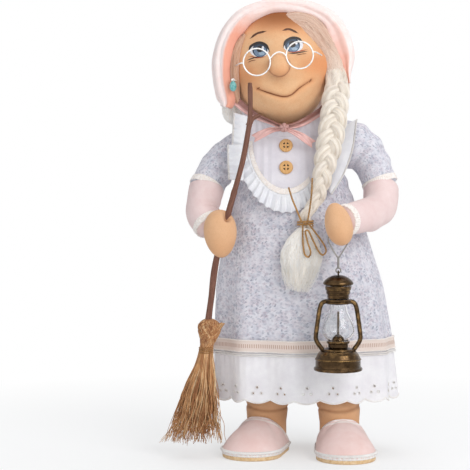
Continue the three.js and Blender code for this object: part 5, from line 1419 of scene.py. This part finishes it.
# Slippers: a felt vamp over a cork sole, bound along its edge and trimmed with lace
FOOT_COLS, VAMP_FINE, VAMP_ROWS, BAND_ROWS = 300, 80, 44, 6
SIDE_DOME, TOE_DOME, SLOPE, BAND_WIDTH = 2.4, 1.45, 1.6, 5.6
BAND_RISE = np.array([0.1, 0.7, 0.85, 0.8, 0.6, 0.3])
SOLE_ROWS = [(0.03, 0), (0.9, 0), (0.975, 0), (0.995, 0.5), (1, 1.2), (1, SOLE - 0.9), (0.99, SOLE - 0.25),
             (0.97, SOLE), (0.03, SOLE)]
LACE_WAVE = 1.05
# Rows of the slipper's lace: how far out, height from the sole's top, and how far its waves go out and up
SLIPPER_LACE = [(0.2, -1.6, 0.2, 0.5), (0.5, -0.4, 0.3, 0), (0.6, 1.0, 0.3, 0), (0.1, 2.4, 0.2, 0.6)]


def foot_way(foot):
    """The direction in which a foot points, on the floor."""
    return np.array([math.sin(foot["yaw"]), -math.cos(foot["yaw"])])


def foot_edge(foot, angle):
    """The sole's outline by its outward direction: a heel round, a toe round and straight sides."""
    toward, normal = foot_way(foot), np.stack([np.cos(angle), np.sin(angle)], axis=-1)
    on_toe = (normal @ toward >= (HEEL_RADIUS - TOE_RADIUS) / FOOT_REACH)[..., None]
    middle = np.array(foot["ankle"]) + toward * np.where(on_toe, FOOT_REACH, 0)
    return middle + normal * np.where(on_toe, TOE_RADIUS, HEEL_RADIUS)


def outline(foot, count):
    """The outline from the heel round to the heel: evenly spaced places and their outward directions."""
    turn = np.linspace(0, 2 * math.pi, 1441) + math.pi / 2 + foot["yaw"]
    ring = foot_edge(foot, turn)
    along = running(ring)
    at = np.linspace(0, along[-1], count + 1)[:-1]
    x, y, turn = (np.interp(at, along, values) for values in (*ring.T, turn))
    return np.stack([x, y], axis=1), np.stack([np.cos(turn), np.sin(turn)], axis=1)


def along_columns(columns, first, last, count):
    """Places along each column from one row to another."""
    rows = mix(first, last, down(count))
    low = np.minimum(rows.astype(int), len(columns) - 2)
    which = np.arange(columns.shape[1])
    return mix(columns[low, which], columns[low + 1, which], (rows - low)[..., None])


def vamp_grids(foot, ring, outward):
    """The vamp up to its sloping edge, the band along that edge, and the places of the outline they have."""
    toward, ankle = foot_way(foot), np.array(foot["ankle"])
    peak = ankle + toward * (VAMP_FRONT - 0.5)
    rise = np.linspace(0, 1, VAMP_FINE)
    spread = ring - outward * 0.6 - peak
    ahead = np.outer(spread @ toward, toward)
    flat = peak + ahead * (1 - rise**SLOPE)[:, None, None]
    power = mix(SIDE_DOME, TOE_DOME, ease(spread @ toward, -12, 16))
    flat = flat + (spread - ahead) * ((1 - rise[:, None] ** power) ** (1 / power))[..., None]
    z = np.broadcast_to(mix(ON_SOLE, VAMP_TOP, rise)[:, None], flat.shape[:2])
    slope = unit(np.array([VAMP_FRONT - VAMP_BACK, VAMP_TOP - SOLE]))
    clear = ((flat - ankle) @ toward - VAMP_BACK) * slope[1] - (z - SOLE) * slope[0]
    kept = np.flatnonzero(clear[0] > 0.4)
    columns, clear = np.concatenate([flat, z[..., None]], axis=-1)[:, kept], clear[:, kept]
    stops = []
    for limit in (0.0, BAND_WIDTH):
        over = np.argmax(clear < limit, axis=0)
        low = np.maximum(over - 1, 0)
        above, below = clear[low, np.arange(len(kept))], clear[over, np.arange(len(kept))]
        stops.append(np.where(over > 0, low + (above - limit) / np.maximum(above - below, 1e-6), 0.0))
    vamp = along_columns(columns, 0 * stops[0], stops[0], VAMP_ROWS)
    return vamp, along_columns(columns, stops[1], stops[0], BAND_ROWS), kept


for side, foot in FEET.items():
    ring, outward = outline(foot, FOOT_COLS)
    middle = ring.mean(0)
    sole = np.stack([np.column_stack([mix(middle, ring, reach), np.full(FOOT_COLS, z)])
                     for reach, z in SOLE_ROWS])
    dress_up(grid_object(f"sole_{side}_cork", sole, CORK), "doll", f"slipper_sole_{side}", slot="cork")
    grid, throat, kept = vamp_grids(foot, ring, outward)
    vamp = sheet_object(f"vamp_{side}_felt", grid, SLIPPER_FELT, 1.2)
    stuff(vamp, "doll", f"slipper_upper_{side}", "rose")
    core = np.array([*(np.array(foot["ankle"]) + grid[0, :, :2].mean(0)) / 2, SOLE])
    throat = throat + unit(throat - core) * BAND_RISE[:, None, None]
    piping = join(f"piping_{side}_cloth", [
        sheet_object("throat_band", throat, PIPING_CLOTH, 0.5),
        tubes_object("throat_edge", throat[-1:], 0.8, PIPING_CLOTH, 10),
        tubes_object("throat_seam", throat[:1], 0.3, SEAM, 6)])
    dress_up(piping, "doll", f"slipper_piping_{side}", slot="rose")
    ring, outward = ring[kept], outward[kept]
    rope_line = resample(np.column_stack([ring + outward * 0.5, np.full(len(kept), SOLE + 2.3)]), 700)
    dress_up(laid_cord(f"slipper_rope_{side}", rope_line, 1.15, STITCH_THREAD, 5.0), "doll", slot="lace")
    wave = np.sin(np.arange(len(kept)) * LACE_WAVE)[:, None]
    lace = np.stack([np.column_stack([ring + outward * (out + bulge * wave), SOLE + z + up * np.abs(wave)])
                     for out, z, bulge, up in SLIPPER_LACE])
    dress_up(sheet_object(f"slipper_lace_{side}", lace, WHITE_LACE, 0.5), "doll", slot="lace")


# Chin ribbon: a satin band drawn to a knot, with two tails
STRAP_ROUTE = [(-46, -19, 317), (-27, -21, 302), (-11, -33, 294), (0.5, -37, 290), (15, -33, 293),
               (32, -23, 303), (38, -24, 308)]
KNOT, KNOT_SIZE, KNOT_FOLDS = np.array([0.5, -41.5, 289.0]), np.array([4.2, 3.4, 4.0]), 5
TAIL_ROUTES = [[(-1, -42, 288), (-12, -40.5, 286.5), (-26, -37, 280)],
               [(2, -42, 288), (13, -41, 283), (26, -38, 275)]]
STRIP_ROWS, STRIP_COLS = 110, 29


def satin_strip(name, route, side, half, drawn, pleats, held, rests_on, nodes=(), notch=0.0, upper_shade=0.0):
    """A ribbon along a route, pleated where it is drawn in, with painted shade in its pleats; a given amount
    of painted shade darkens its upper side.
    """
    path = curve(route, STRIP_ROWS)
    tangent, wide, deep = path_axes(path, side)
    share, across = down(STRIP_ROWS), np.linspace(-1, 1, STRIP_COLS)[None]
    pleat = np.sin(pleats * across + 3 * share)
    fold = 0.7 * drawn(share) * pleat + 0.35 * np.sin(5 * across + 9 * share)
    end = notch * ease(share, 0.8, 1) * (np.abs(across) - 0.6)
    grid = path[:, None] + wide[:, None] * (half * (1 - 0.5 * drawn(share)) * across)[..., None]
    grid = grid + deep[:, None] * fold[..., None] + tangent[:, None] * end[..., None]
    piece = lay_cloth(name, grid, SATIN, 0.5, "satin", held, rests_on, nodes, offset=0.0)
    paint(piece, "shade", 0.55 * drawn(share) * ease(pleat, 0.1, -0.9) + upper_shade * ease(across, -0.45, 0.15))


# The strap's upper side takes painted shade from the chin above it.
satin_strip("ribbon_satin", STRAP_ROUTE, (0, -0.3, 1), 3.8, lambda share: bell(share - 0.52, 0.2), 9,
            "stretched", "bonnet_brim", ["ribbon_band"], upper_shade=0.85)
knot_ball = ball_grid(KNOT, KNOT_SIZE, 40, 60)
knot_turn = np.arctan2(knot_ball[..., 2] - KNOT[2], knot_ball[..., 0] - KNOT[0])
knot_ball = knot_ball + unit(knot_ball - KNOT) * (0.2 * np.sin(KNOT_FOLDS * knot_turn))[..., None]
knot = grid_object("ribbon_knot", knot_ball, SATIN)
paint(knot, "shade", 0.4 + 0.4 * ease(-np.sin(KNOT_FOLDS * knot_turn), 0.2, 1))
stuff(knot, "doll", "ribbon_bow", "satin")
for which, route in enumerate(TAIL_ROUTES):
    satin_strip(f"ribbon_tail_{which}", route, AXIS_Z, 3.4, lambda share: ease(0.75 - share, 0, 0.7), 8,
                "hung", "ribbon_bow", notch=2.4, upper_shade=0.06)


# Collar: the bib's cloth between its top edge and the chin ribbon
COLLAR_ROWS, COLLAR_COLS, COLLAR_FOOT, COLLAR_BACK = 16, 70, 281.0, 3.2
collar_line = curve(STRAP_ROUTE, 200)
collar_x = np.linspace(-36, 37, COLLAR_COLS)
collar_top = np.stack([np.interp(collar_x, collar_line[:, 0], values) for values in collar_line.T], axis=1)
collar_top[:, 1] += COLLAR_BACK
collar_low = front_point(collar_x, np.full(COLLAR_COLS, COLLAR_FOOT), 1.4)
collar_grid = mix(collar_low[None], collar_top[None], down(COLLAR_ROWS)[..., None])
collar_grid[..., 1] -= 0.5 * np.sin(1.1 * collar_x) * np.sin(math.pi * down(COLLAR_ROWS))
lay_cloth("collar_cloth", collar_grid, LILAC_CLOTH, 0.8, "lilac", "laid", "dress")


# Broom: a crooked twig, a tuft of folded straw, its binding and the bristles
STICK_ROUTE = [(-29.4, -56, 327), (-29.6, -55, 297), (-35.4, -53, 261), (-44.9, -50, 226.2),
               (-57.9, -45, 177.4), (-63.2, -40, 139), (-66.3, -38, 116), (-67, -37.5, 108)]
STUB_ROUTE = [(-31, -54.6, 290), (-27, -55.3, 296), (-20.8, -56, 299.5)]
STICK_RADIUS, BROOM_WAIST, TUFT_RADIUS = 2.6, 5.2, 9.4
STICK_STEPS, STICK_SIDES, STUB_STEPS, STUB_SIDES = 320, 36, 30, 24
BROOM_TIE, BRISTLE_BASE = np.array([-67.7, -36.0, 94.0]), np.array([-80.9, -32.0, 17.0])
BRISTLE_FAN = np.array([24.0, 14.0, 0.0])


def stick_size(share, angle):
    """A twig, torn thin at its top, with two knots and ridges of bark."""
    radius = STICK_RADIUS * mix(0.78, 1.12, share) * (1 + 0.06 * np.cos(25 * share))
    radius = radius * (1 - 0.4 * bell(share, 0.014) * (1.2 + np.sin(3 * angle)) / 2)
    ridge = 1 + 0.035 * np.sin(5 * angle + 14 * share) + 0.025 * np.sin(8 * angle - 31 * share)
    for at, height, width, facing in ((0.15, 0.2, 0.018, 0.3), (0.43, 0.14, 0.014, -1.5)):
        ridge = ridge + height * bell(share - at, width) * (1 + np.cos(angle - facing))
    return radius * ridge, radius * ridge


def stub_size(share, angle):
    radius = STICK_RADIUS * mix(0.95, 0.55, share) * (1 + 0.07 * np.sin(4 * angle + 9 * share))
    return radius, radius


stick_grid = sweep(curve(STICK_ROUTE, STICK_STEPS), AXIS_X, STICK_SIDES, stick_size)
stub_grid = sweep(curve(STUB_ROUTE, STUB_STEPS), AXIS_Y, STUB_SIDES, stub_size)
stick, stub = grid_object("stick_bark", stick_grid, BARK), grid_object("stub_bark", stub_grid, BARK)
peeled = ease(0.06 - down(STICK_STEPS), 0, 0.025) * ease(np.cos(rounds(STICK_SIDES) + 1.1), 0.1, 0.7)
for piece, bare in ((stick, peeled), (stub, np.zeros((STUB_STEPS, STUB_SIDES)))):
    paint(piece, "cut", np.append(bare.ravel(), (1, 1)))
dress_up(join("stick_bark", [stick, stub]), "broom", "broom_stick", slot="twig")

TUFT_TOP = [(-64, -38, 122), (-65.2, -37.4, 110)]
TUFT_STEPS, TUFT_SIDES, FOLDED, ENDS = 50, 40, 210, 34
# Where the loose ends of straw pass: step along the tuft, how far out and up, and if each has its own reach
END_STOPS = [(32, 6.4, 0.0, False), (22, 8.6, 0.0, False), (14, 9.6, 0.2, True), (8, 11.6, 0.4, True)]


def tuft_size(share, angle):
    top = np.sqrt(np.clip(1 - (1 - np.minimum(share / 0.3, 1)) ** 2, 0.01, 1))
    radius = (BROOM_WAIST + (TUFT_RADIUS - BROOM_WAIST) * ease(1 - share, 0.08, 0.7)) * top
    return radius, 0.9 * radius


def tuft_core(share, angle):
    return [0.95 * size for size in tuft_size(share, angle)]


tuft_path = curve([*TUFT_TOP, BROOM_TIE + (0, 0, 1.5)], TUFT_STEPS)
tuft_mass = grid_object("tuft_mass", sweep(tuft_path, AXIS_X, TUFT_SIDES, tuft_core), STRAW)
paint(tuft_mass, "tint", np.full(len(tuft_mass.data.vertices), 0.3))
tuft_angle = rng.random(FOLDED) * 2 * math.pi + wander(FOLDED, TUFT_STEPS, 0.5)
tuft_angle = tuft_angle + np.linspace(-1.3, 1.1, TUFT_STEPS)[:, None] * rng.choice([-0.9, 1.0], FOLDED)
tuft_reach = 0.98 + 0.07 * rng.random(FOLDED) + wander(FOLDED, TUFT_STEPS, 0.05, 3)
tuft_lines = swept_lines(tuft_path, AXIS_X, tuft_size, tuft_angle, tuft_reach)
end_turn, end_reach = rng.normal(-0.1, 0.9, ENDS), 0.7 + 0.45 * rng.random(ENDS)
end_spoke = np.stack([np.cos(end_turn), 0.9 * np.sin(end_turn), 0 * end_turn], axis=1)
end_lines = []
for at, out, up, own in END_STOPS:
    reach = end_reach[:, None] if own else 1.0
    end_lines.append(tuft_path[at] + end_spoke * out * reach + np.outer(end_reach, (0, 0, up)))
end_lines = np.stack([curve(line, 16) for line in np.stack(end_lines, axis=1)])
tuft = join("tuft_straw", [tuft_mass, tubes_object("tuft_straws", tuft_lines, 0.42, STRAW, 5),
                           tubes_object("tuft_ends", end_lines, 0.4, STRAW, 5)])
dress_up(tuft, "broom", "broom_tuft", slot="straw")
binding = laid_cord("binding_thread", winding(BROOM_TIE, BROOM_WAIST + 0.8, 4, 1.5, 320), 0.5, THREAD)
dress_up(binding, "broom", "broom_binding", slot="thread")

CLUMPS, PER_CLUMP, BRISTLE_STEPS = 66, 8, 36
BRISTLES = CLUMPS * PER_CLUMP


def by_clump(values):
    """One value of each clump for all its bristles."""
    return np.repeat(values, PER_CLUMP)


clump_reach, clump_turn = np.sqrt(rng.random(CLUMPS)), rng.random(CLUMPS) * 2 * math.pi
reach = np.clip(by_clump(clump_reach) + rng.normal(0, 0.06, BRISTLES), 0, 1.08)
turn = by_clump(clump_turn) + rng.normal(0, 0.16, BRISTLES)
spoke = np.stack([np.cos(turn), np.sin(turn), 0 * turn], axis=1) * reach[:, None]
stray = rng.normal(0, 0.1, spoke.shape) * (1, 1, 0)
near, far = BROOM_TIE + (0, 0, 3) + spoke * BROOM_WAIST, BRISTLE_BASE + (spoke + stray) * BRISTLE_FAN
length = by_clump(0.8 + 0.26 * rng.random(CLUMPS)) + rng.normal(0, 0.05, BRISTLES)
fall = np.linspace(0, 1, BRISTLE_STEPS)[None] * np.clip(length, 0.66, 1.07)[:, None]
bristle_lines = near[:, None] + (far - near)[:, None] * fall[..., None] ** np.array([1.22, 1.22, 1.0])
clump_beat = by_clump(rng.random(CLUMPS))[:, None]
beat, start = 1 + 3 * rng.random((BRISTLES, 1)), rng.random((BRISTLES, 1))
sway = 2.9 * np.sin(2 * math.pi * (1.1 * fall + clump_beat))
sway = sway + 1.1 * np.sin(2 * math.pi * (beat * fall + start))
bristle_lines[..., 0] += sway * fall
bristle_lines[..., 1] += 0.8 * fall * np.cos(2 * math.pi * (1.7 * fall + clump_beat))
tint = by_clump(rng.random(CLUMPS)) * 0.6 + 0.65 * rng.random(BRISTLES) ** 1.5 - 0.05
bristles = tubes_object("bristle_straws", bristle_lines, np.linspace(0.5, 0.2, BRISTLE_STEPS)[None], STRAW, 5,
                        np.clip(tint, 0, 1))
dress_up(bristles, "broom", "broom_bristles", slot="straw")


# Lantern: turned bronze on one axis, a glass globe, side tubes and a wire bail
LANTERN, LUG, EYE, BAIL_AXIS = (LANTERN_AXIS + AXIS_Z * height for height in (81.5, 164.3, 166.8, 193.0))
TURNED_SIDES, GLOBE_SIDES, GLASS_WALL = 72, 96, 1.1
TANK = [(0.02, 0), (19.8, 0), (20.7, 0.5), (20.7, 2.1), (20.2, 2.7), (19.4, 3.2), (19.2, 4), (19.2, 8.8),
        (19.7, 9.3), (19.7, 10.1), (18.9, 10.8), (17.4, 14.2), (15.2, 16.6), (13.4, 17.6), (13.4, 18.3),
        (12.4, 18.7), (10.6, 19.0), (9.4, 19.6), (0.02, 19.6)]
BURNER = [(0.02, 19.9), (8.6, 19.9), (8.6, 22.9), (9.8, 23.4), (9.8, 25.2), (5.8, 25.2), (4.4, 28.8),
          (2, 30.8), (0.9, 31), (0.9, 50.3), (0.02, 50.3)]
GLOBE = [(8.4, 25.5), (12.8, 30.5), (14, 35), (12.4, 41.5), (8.6, 50), (7.2, 56.5)]
RING_BAND = [(6.1, 58.9), (6.1, 56.8), (10.2, 56.8), (11, 57.4), (11, 58.4), (10.3, 58.9), (11, 59.4),
             (11, 60.4), (10.2, 61), (6.1, 61), (6.1, 58.9)]
CHIMNEY_FOOT, CHIMNEY_BANDS, BAND_HEIGHT, CHIMNEY_RADIUS, BAND_STEP = 61.3, 3, 3.6, 9, 0.9
BAND_PROFILE = [(0, 0), (0.5, 2.5), (0.2, 2.9), (0.2, 3.3), (0.6, 3.6)]
CHIMNEY = [(CHIMNEY_RADIUS + BAND_STEP * which + out, CHIMNEY_FOOT + BAND_HEIGHT * which + up)
           for which in range(CHIMNEY_BANDS) for out, up in BAND_PROFILE]
CHIMNEY = [(0.02, CHIMNEY_FOOT), *CHIMNEY, (9.4, 71.6), (0.02, 72.1)]
CAP = [(0.02, 72.4), (9.2, 72.4), (11.6, 72.7), (12.7, 73.5), (13.0, 74.4), (12.5, 75.5), (11.0, 77.3),
       (8.4, 79.3), (5.2, 80.7), (2.4, 81.3), (0.02, 81.4)]
SIDE_TUBE = [(10, 59), (13.6, 57.6), (15.6, 53), (17.4, 42), (18.9, 30), (18.7, 26.5), (17, 22.8),
             (12.6, 16.8)]
TUBE_RADIUS, TUBE_STEPS, TUBE_SIDES = 1.95, 90, 24


def bronze_turned(name, profile, bevel=0.35):
    """A turned bronze piece, rubbed bright on its outer corners, with a painted highlight over the upper part
    of the tank.
    """
    line = eased(profile, bevel)
    piece = grid_object(name, lathe_grid(line, LANTERN, TURNED_SIDES), BRONZE, caps=False)
    step = unit(np.gradient(line, axis=0))
    bend = np.gradient(np.unwrap(np.arctan2(step[:, 1], step[:, 0])))
    worn = np.convolve(np.clip(bend * 1.1, 0, 0.75), (0.3, 0.6, 0.3), "same")
    # Painted highlight over the tank's upper part.
    worn = worn + 0.25 * ease(line[:, 1], 3, 16) * ease(20 - line[:, 1], 0, 4)
    paint(piece, "worn", np.repeat(worn, TURNED_SIDES))
    return piece


def hoop(name, centre, radius, tube, a, b, look, count=60):
    """A wire ring in the plane of two directions."""
    return tubes_object(name, loop(centre, radius * a, radius * b, count)[None], tube, look, 12)


for part, profile in (("tank", TANK), ("burner", BURNER), ("chimney", CHIMNEY)):
    dress_up(bronze_turned(f"{part}_bronze", profile), "lantern", f"lantern_{part}", slot="bronze")
globe = curve(GLOBE, 60)
globe = np.vstack([globe, globe[::-1] - (GLASS_WALL, 0), globe[:1]])
globe = grid_object("globe_glass", lathe_grid(globe, LANTERN, GLOBE_SIDES), GLASS, caps=False)
dress_up(globe, "lantern", "lantern_glass", slot="glass")
bars = [bronze_turned("ring_bronze", RING_BAND, 0.2)]
for way in (-1, 1):
    line = curve([LANTERN + (way * r, 0, z) for r, z in SIDE_TUBE], TUBE_STEPS)
    bar = grid_object("side_tube", sweep(line, AXIS_Y, TUBE_SIDES, even(TUBE_RADIUS)), BRONZE)
    # Painted highlight down the front of each side tube.
    paint(bar, "worn", 0.35 * ease(-np.cos(rounds(TUBE_SIDES)), 0.3, 1) + 0 * down(TUBE_STEPS))
    bars.append(bar)
dress_up(join("frame_bronze", bars), "lantern", "lantern_frame", slot="bronze")
cap = bronze_turned("cap_bronze", CAP, 0.25)
cap = join("cap_bronze", [cap, hoop("cap_lug", LUG, 2.0, 0.6, AXIS_Y, AXIS_Z, BRONZE)])
dress_up(cap, "lantern", "lantern_cap", slot="bronze")

BAIL_ROUTE = [(-0.2, -16), (-7.4, -4), (-8.6, 0.2), (-7.2, 2.6), (0, 2.6), (7.2, 2.6), (8.6, 0.2), (7.4, -4),
              (0.2, -16)]
bail_line = curve([BAIL_AXIS + (x, 0, z) for x, z in BAIL_ROUTE], 200)
stem = resample(np.array([BAIL_AXIS + (0, 0, -14.5), EYE + (0, 0, 2.0)]), 60)
bail = join("bail_wire", [
    tubes_object("bail_legs", bail_line[None], 0.6, BAIL_STEEL, 12),
    laid_cord("bail_twist", stem, 0.85, BAIL_STEEL, 3.4),
    hoop("bail_eye", EYE, 2.0, 0.6, AXIS_X, AXIS_Z, BAIL_STEEL),
])
dress_up(bail, "bail", "lantern_bail", slot="wire")


# Spectacles and earring
SPEC_MIDDLE, SPEC_ROLL = np.array([-5.0, -52.22, 348.0]), 0.16
SPEC_ACROSS = np.array([math.cos(SPEC_ROLL), 0, math.sin(SPEC_ROLL)])
LENS_RADIUS, LENS_HALF, SPEC_WIRE = 11.6, 18.7, 0.65
INNER, OUTER = LENS_HALF - LENS_RADIUS, LENS_HALF + LENS_RADIUS
# The bridge and the temples: distance across from the middle, rise, and how far back
SPEC_ROUTES = [
    [(-INNER, 1, 0), (-INNER * 0.6, 4, 0), (0, 5.5, 0), (INNER * 0.6, 4, 0), (INNER, 1, 0)],
    [(-OUTER, 1, 0), (-OUTER - 3, 1.5, 4), (-OUTER - 6.5, 2, 23.5)],
    [(OUTER, 1, 0), (OUTER + 3, 0.5, 4), (OUTER + 8.5, -2, 15.5)],
]


def spec_point(distance, rise=0.0, back=0.0):
    return SPEC_MIDDLE + SPEC_ACROSS * distance + np.array([0, back, rise])


spec_parts = []
for way in (-1, 1):
    middle = spec_point(way * LENS_HALF)
    spec_parts.append(hoop("lens_ring", middle, LENS_RADIUS, SPEC_WIRE, AXIS_X, AXIS_Z, STEEL_WIRE, 120))
for route in SPEC_ROUTES:
    line = curve([spec_point(*stop) for stop in route], 50)
    spec_parts.append(tubes_object("spec_wire", line[None], SPEC_WIRE, STEEL_WIRE, 10))
dress_up(join("spectacle_wire", spec_parts), "spectacles", "spectacles", slot="wire")

EARRING, PIN_WAY = np.array([-44.0, -32.0, 331.0]), unit(np.array([-0.5, -0.87, 0.0]))
PIN_LENGTH, BEAD_SIZE, BEAD_DROP = 18, (3.1, 3.1, 4.6), 5.3
pin_end, loop_at = EARRING + 1.6 * PIN_WAY, EARRING - 0.1 * AXIS_Z
pin_line = resample(np.stack([EARRING - PIN_LENGTH * PIN_WAY, pin_end]), 20)
pin = join("earring_pin_wire", [tubes_object("pin_shaft", pin_line[None], 0.5, STEEL_WIRE, 12),
                                grid_object("pin_head", ball_grid(pin_end, (1, 1, 1), 16, 24), STEEL_WIRE)])
dress_up(pin, "doll", "earring_pin", slot="pin")
bead_form = ball_grid(loop_at - BEAD_DROP * AXIS_Z, BEAD_SIZE, 36, 48)
bead = join("earring_bead_stone", [
    grid_object("bead_stone", bead_form, BEAD),
    hoop("bead_loop", loop_at, 1.3, 0.4, np.cross(PIN_WAY, AXIS_Z), AXIS_Z, STEEL_WIRE, 40),
])
dress_up(bead, "earring", "earring_bead", slot="bead")


# Studio: a white floor that runs into a white backdrop, soft light from the front, above and the floor
FLOOR_REACH, FLOOR_Z, FLOOR_MIDDLE = 6000.0, -0.1, (10, -10, 0)
SEEN_RAYS = ("Is Camera Ray", "Is Glossy Ray", "Is Transmission Ray")
# Lamps: place, aim, side in metres and power
LAMPS = {
    "key": ((750, -1000, 900), (0, 0, 210), 0.9, 9.8),
    "fill": ((-900, -1000, 500), (0, 0, 210), 1.2, 2.4),
    "top": ((100, 300, 1300), (0, 0, 200), 1.0, 6.0),
    "bounce": ((0, -900, 40), (0, 0, 280), 1.0, 2.2),
}


def stage_look():
    """White, shaded only near the object, so that its shadow fades into the background."""
    look = Look("studio_floor", 0.9, **{"Specular IOR Level": 0.0})
    place_at = look.node("NewGeometry").outputs["Position"]
    reach = look.node("VectorMath", {0: place_at, 1: place(FLOOR_MIDDLE).tolist()}, operation="DISTANCE")
    fade = look.ramp(reach.outputs["Value"], (0.12, 0.5), (0.55, 1.0))
    path = look.node("LightPath")
    camera_ray, glossy_ray, through_ray = (path.outputs[ray] for ray in SEEN_RAYS)
    seen = look.math("MAXIMUM", look.math("MAXIMUM", camera_ray, glossy_ray), through_ray)
    glow = look.node("Emission", {"Color": (1, 1, 1, 1), "Strength": 1.0}).outputs[0]
    blend = look.node("MixShader", {0: look.math("MULTIPLY", fade, seen), 1: look.shader.outputs[0], 2: glow})
    look.tree.links.new(blend.outputs[0], look.tree.nodes["Material Output"].inputs["Surface"])
    return look.done((0.93, 0.93, 0.93, 1.0))


corners = [(x * FLOOR_REACH, y * FLOOR_REACH, FLOOR_Z) for x, y in ((-1, -1), (1, -1), (1, 1), (-1, 1))]
floor = make_object("floor", corners, [(0, 1, 2, 3)], stage_look())
for name, (spot_at, aim, size, power) in LAMPS.items():
    light = bpy.data.lights.new(name, "AREA")
    light.energy = power
    light.size = size
    piece = bpy.data.objects.new(name, light)
    bpy.context.scene.collection.objects.link(piece)
    piece.location = Vector(place(spot_at))
    piece.rotation_euler = (Vector(place(aim)) - piece.location).to_track_quat("-Z", "Y").to_euler()

world = bpy.data.worlds.new("studio")
bpy.context.scene.world = world
world.use_nodes = True
tree = world.node_tree
back, shown = tree.nodes["Background"], tree.nodes.new("ShaderNodeBackground")
back.inputs["Color"].default_value = (0.92, 0.96, 1.0, 1.0)
back.inputs["Strength"].default_value = 0.44
shown.inputs["Color"].default_value = (1, 1, 1, 1)
path = tree.nodes.new("ShaderNodeLightPath")
seen = path.outputs[SEEN_RAYS[0]]
for ray in SEEN_RAYS[1:]:
    either = tree.nodes.new("ShaderNodeMath")
    either.operation = "MAXIMUM"
    tree.links.new(seen, either.inputs[0])
    tree.links.new(path.outputs[ray], either.inputs[1])
    seen = either.outputs[0]
choose = tree.nodes.new("ShaderNodeMixShader")
for which, socket in enumerate((seen, back.outputs[0], shown.outputs[0])):
    tree.links.new(socket, choose.inputs[which])
tree.links.new(choose.outputs[0], tree.nodes["World Output"].inputs["Surface"])
bpy.context.scene.view_settings.view_transform = "Standard"
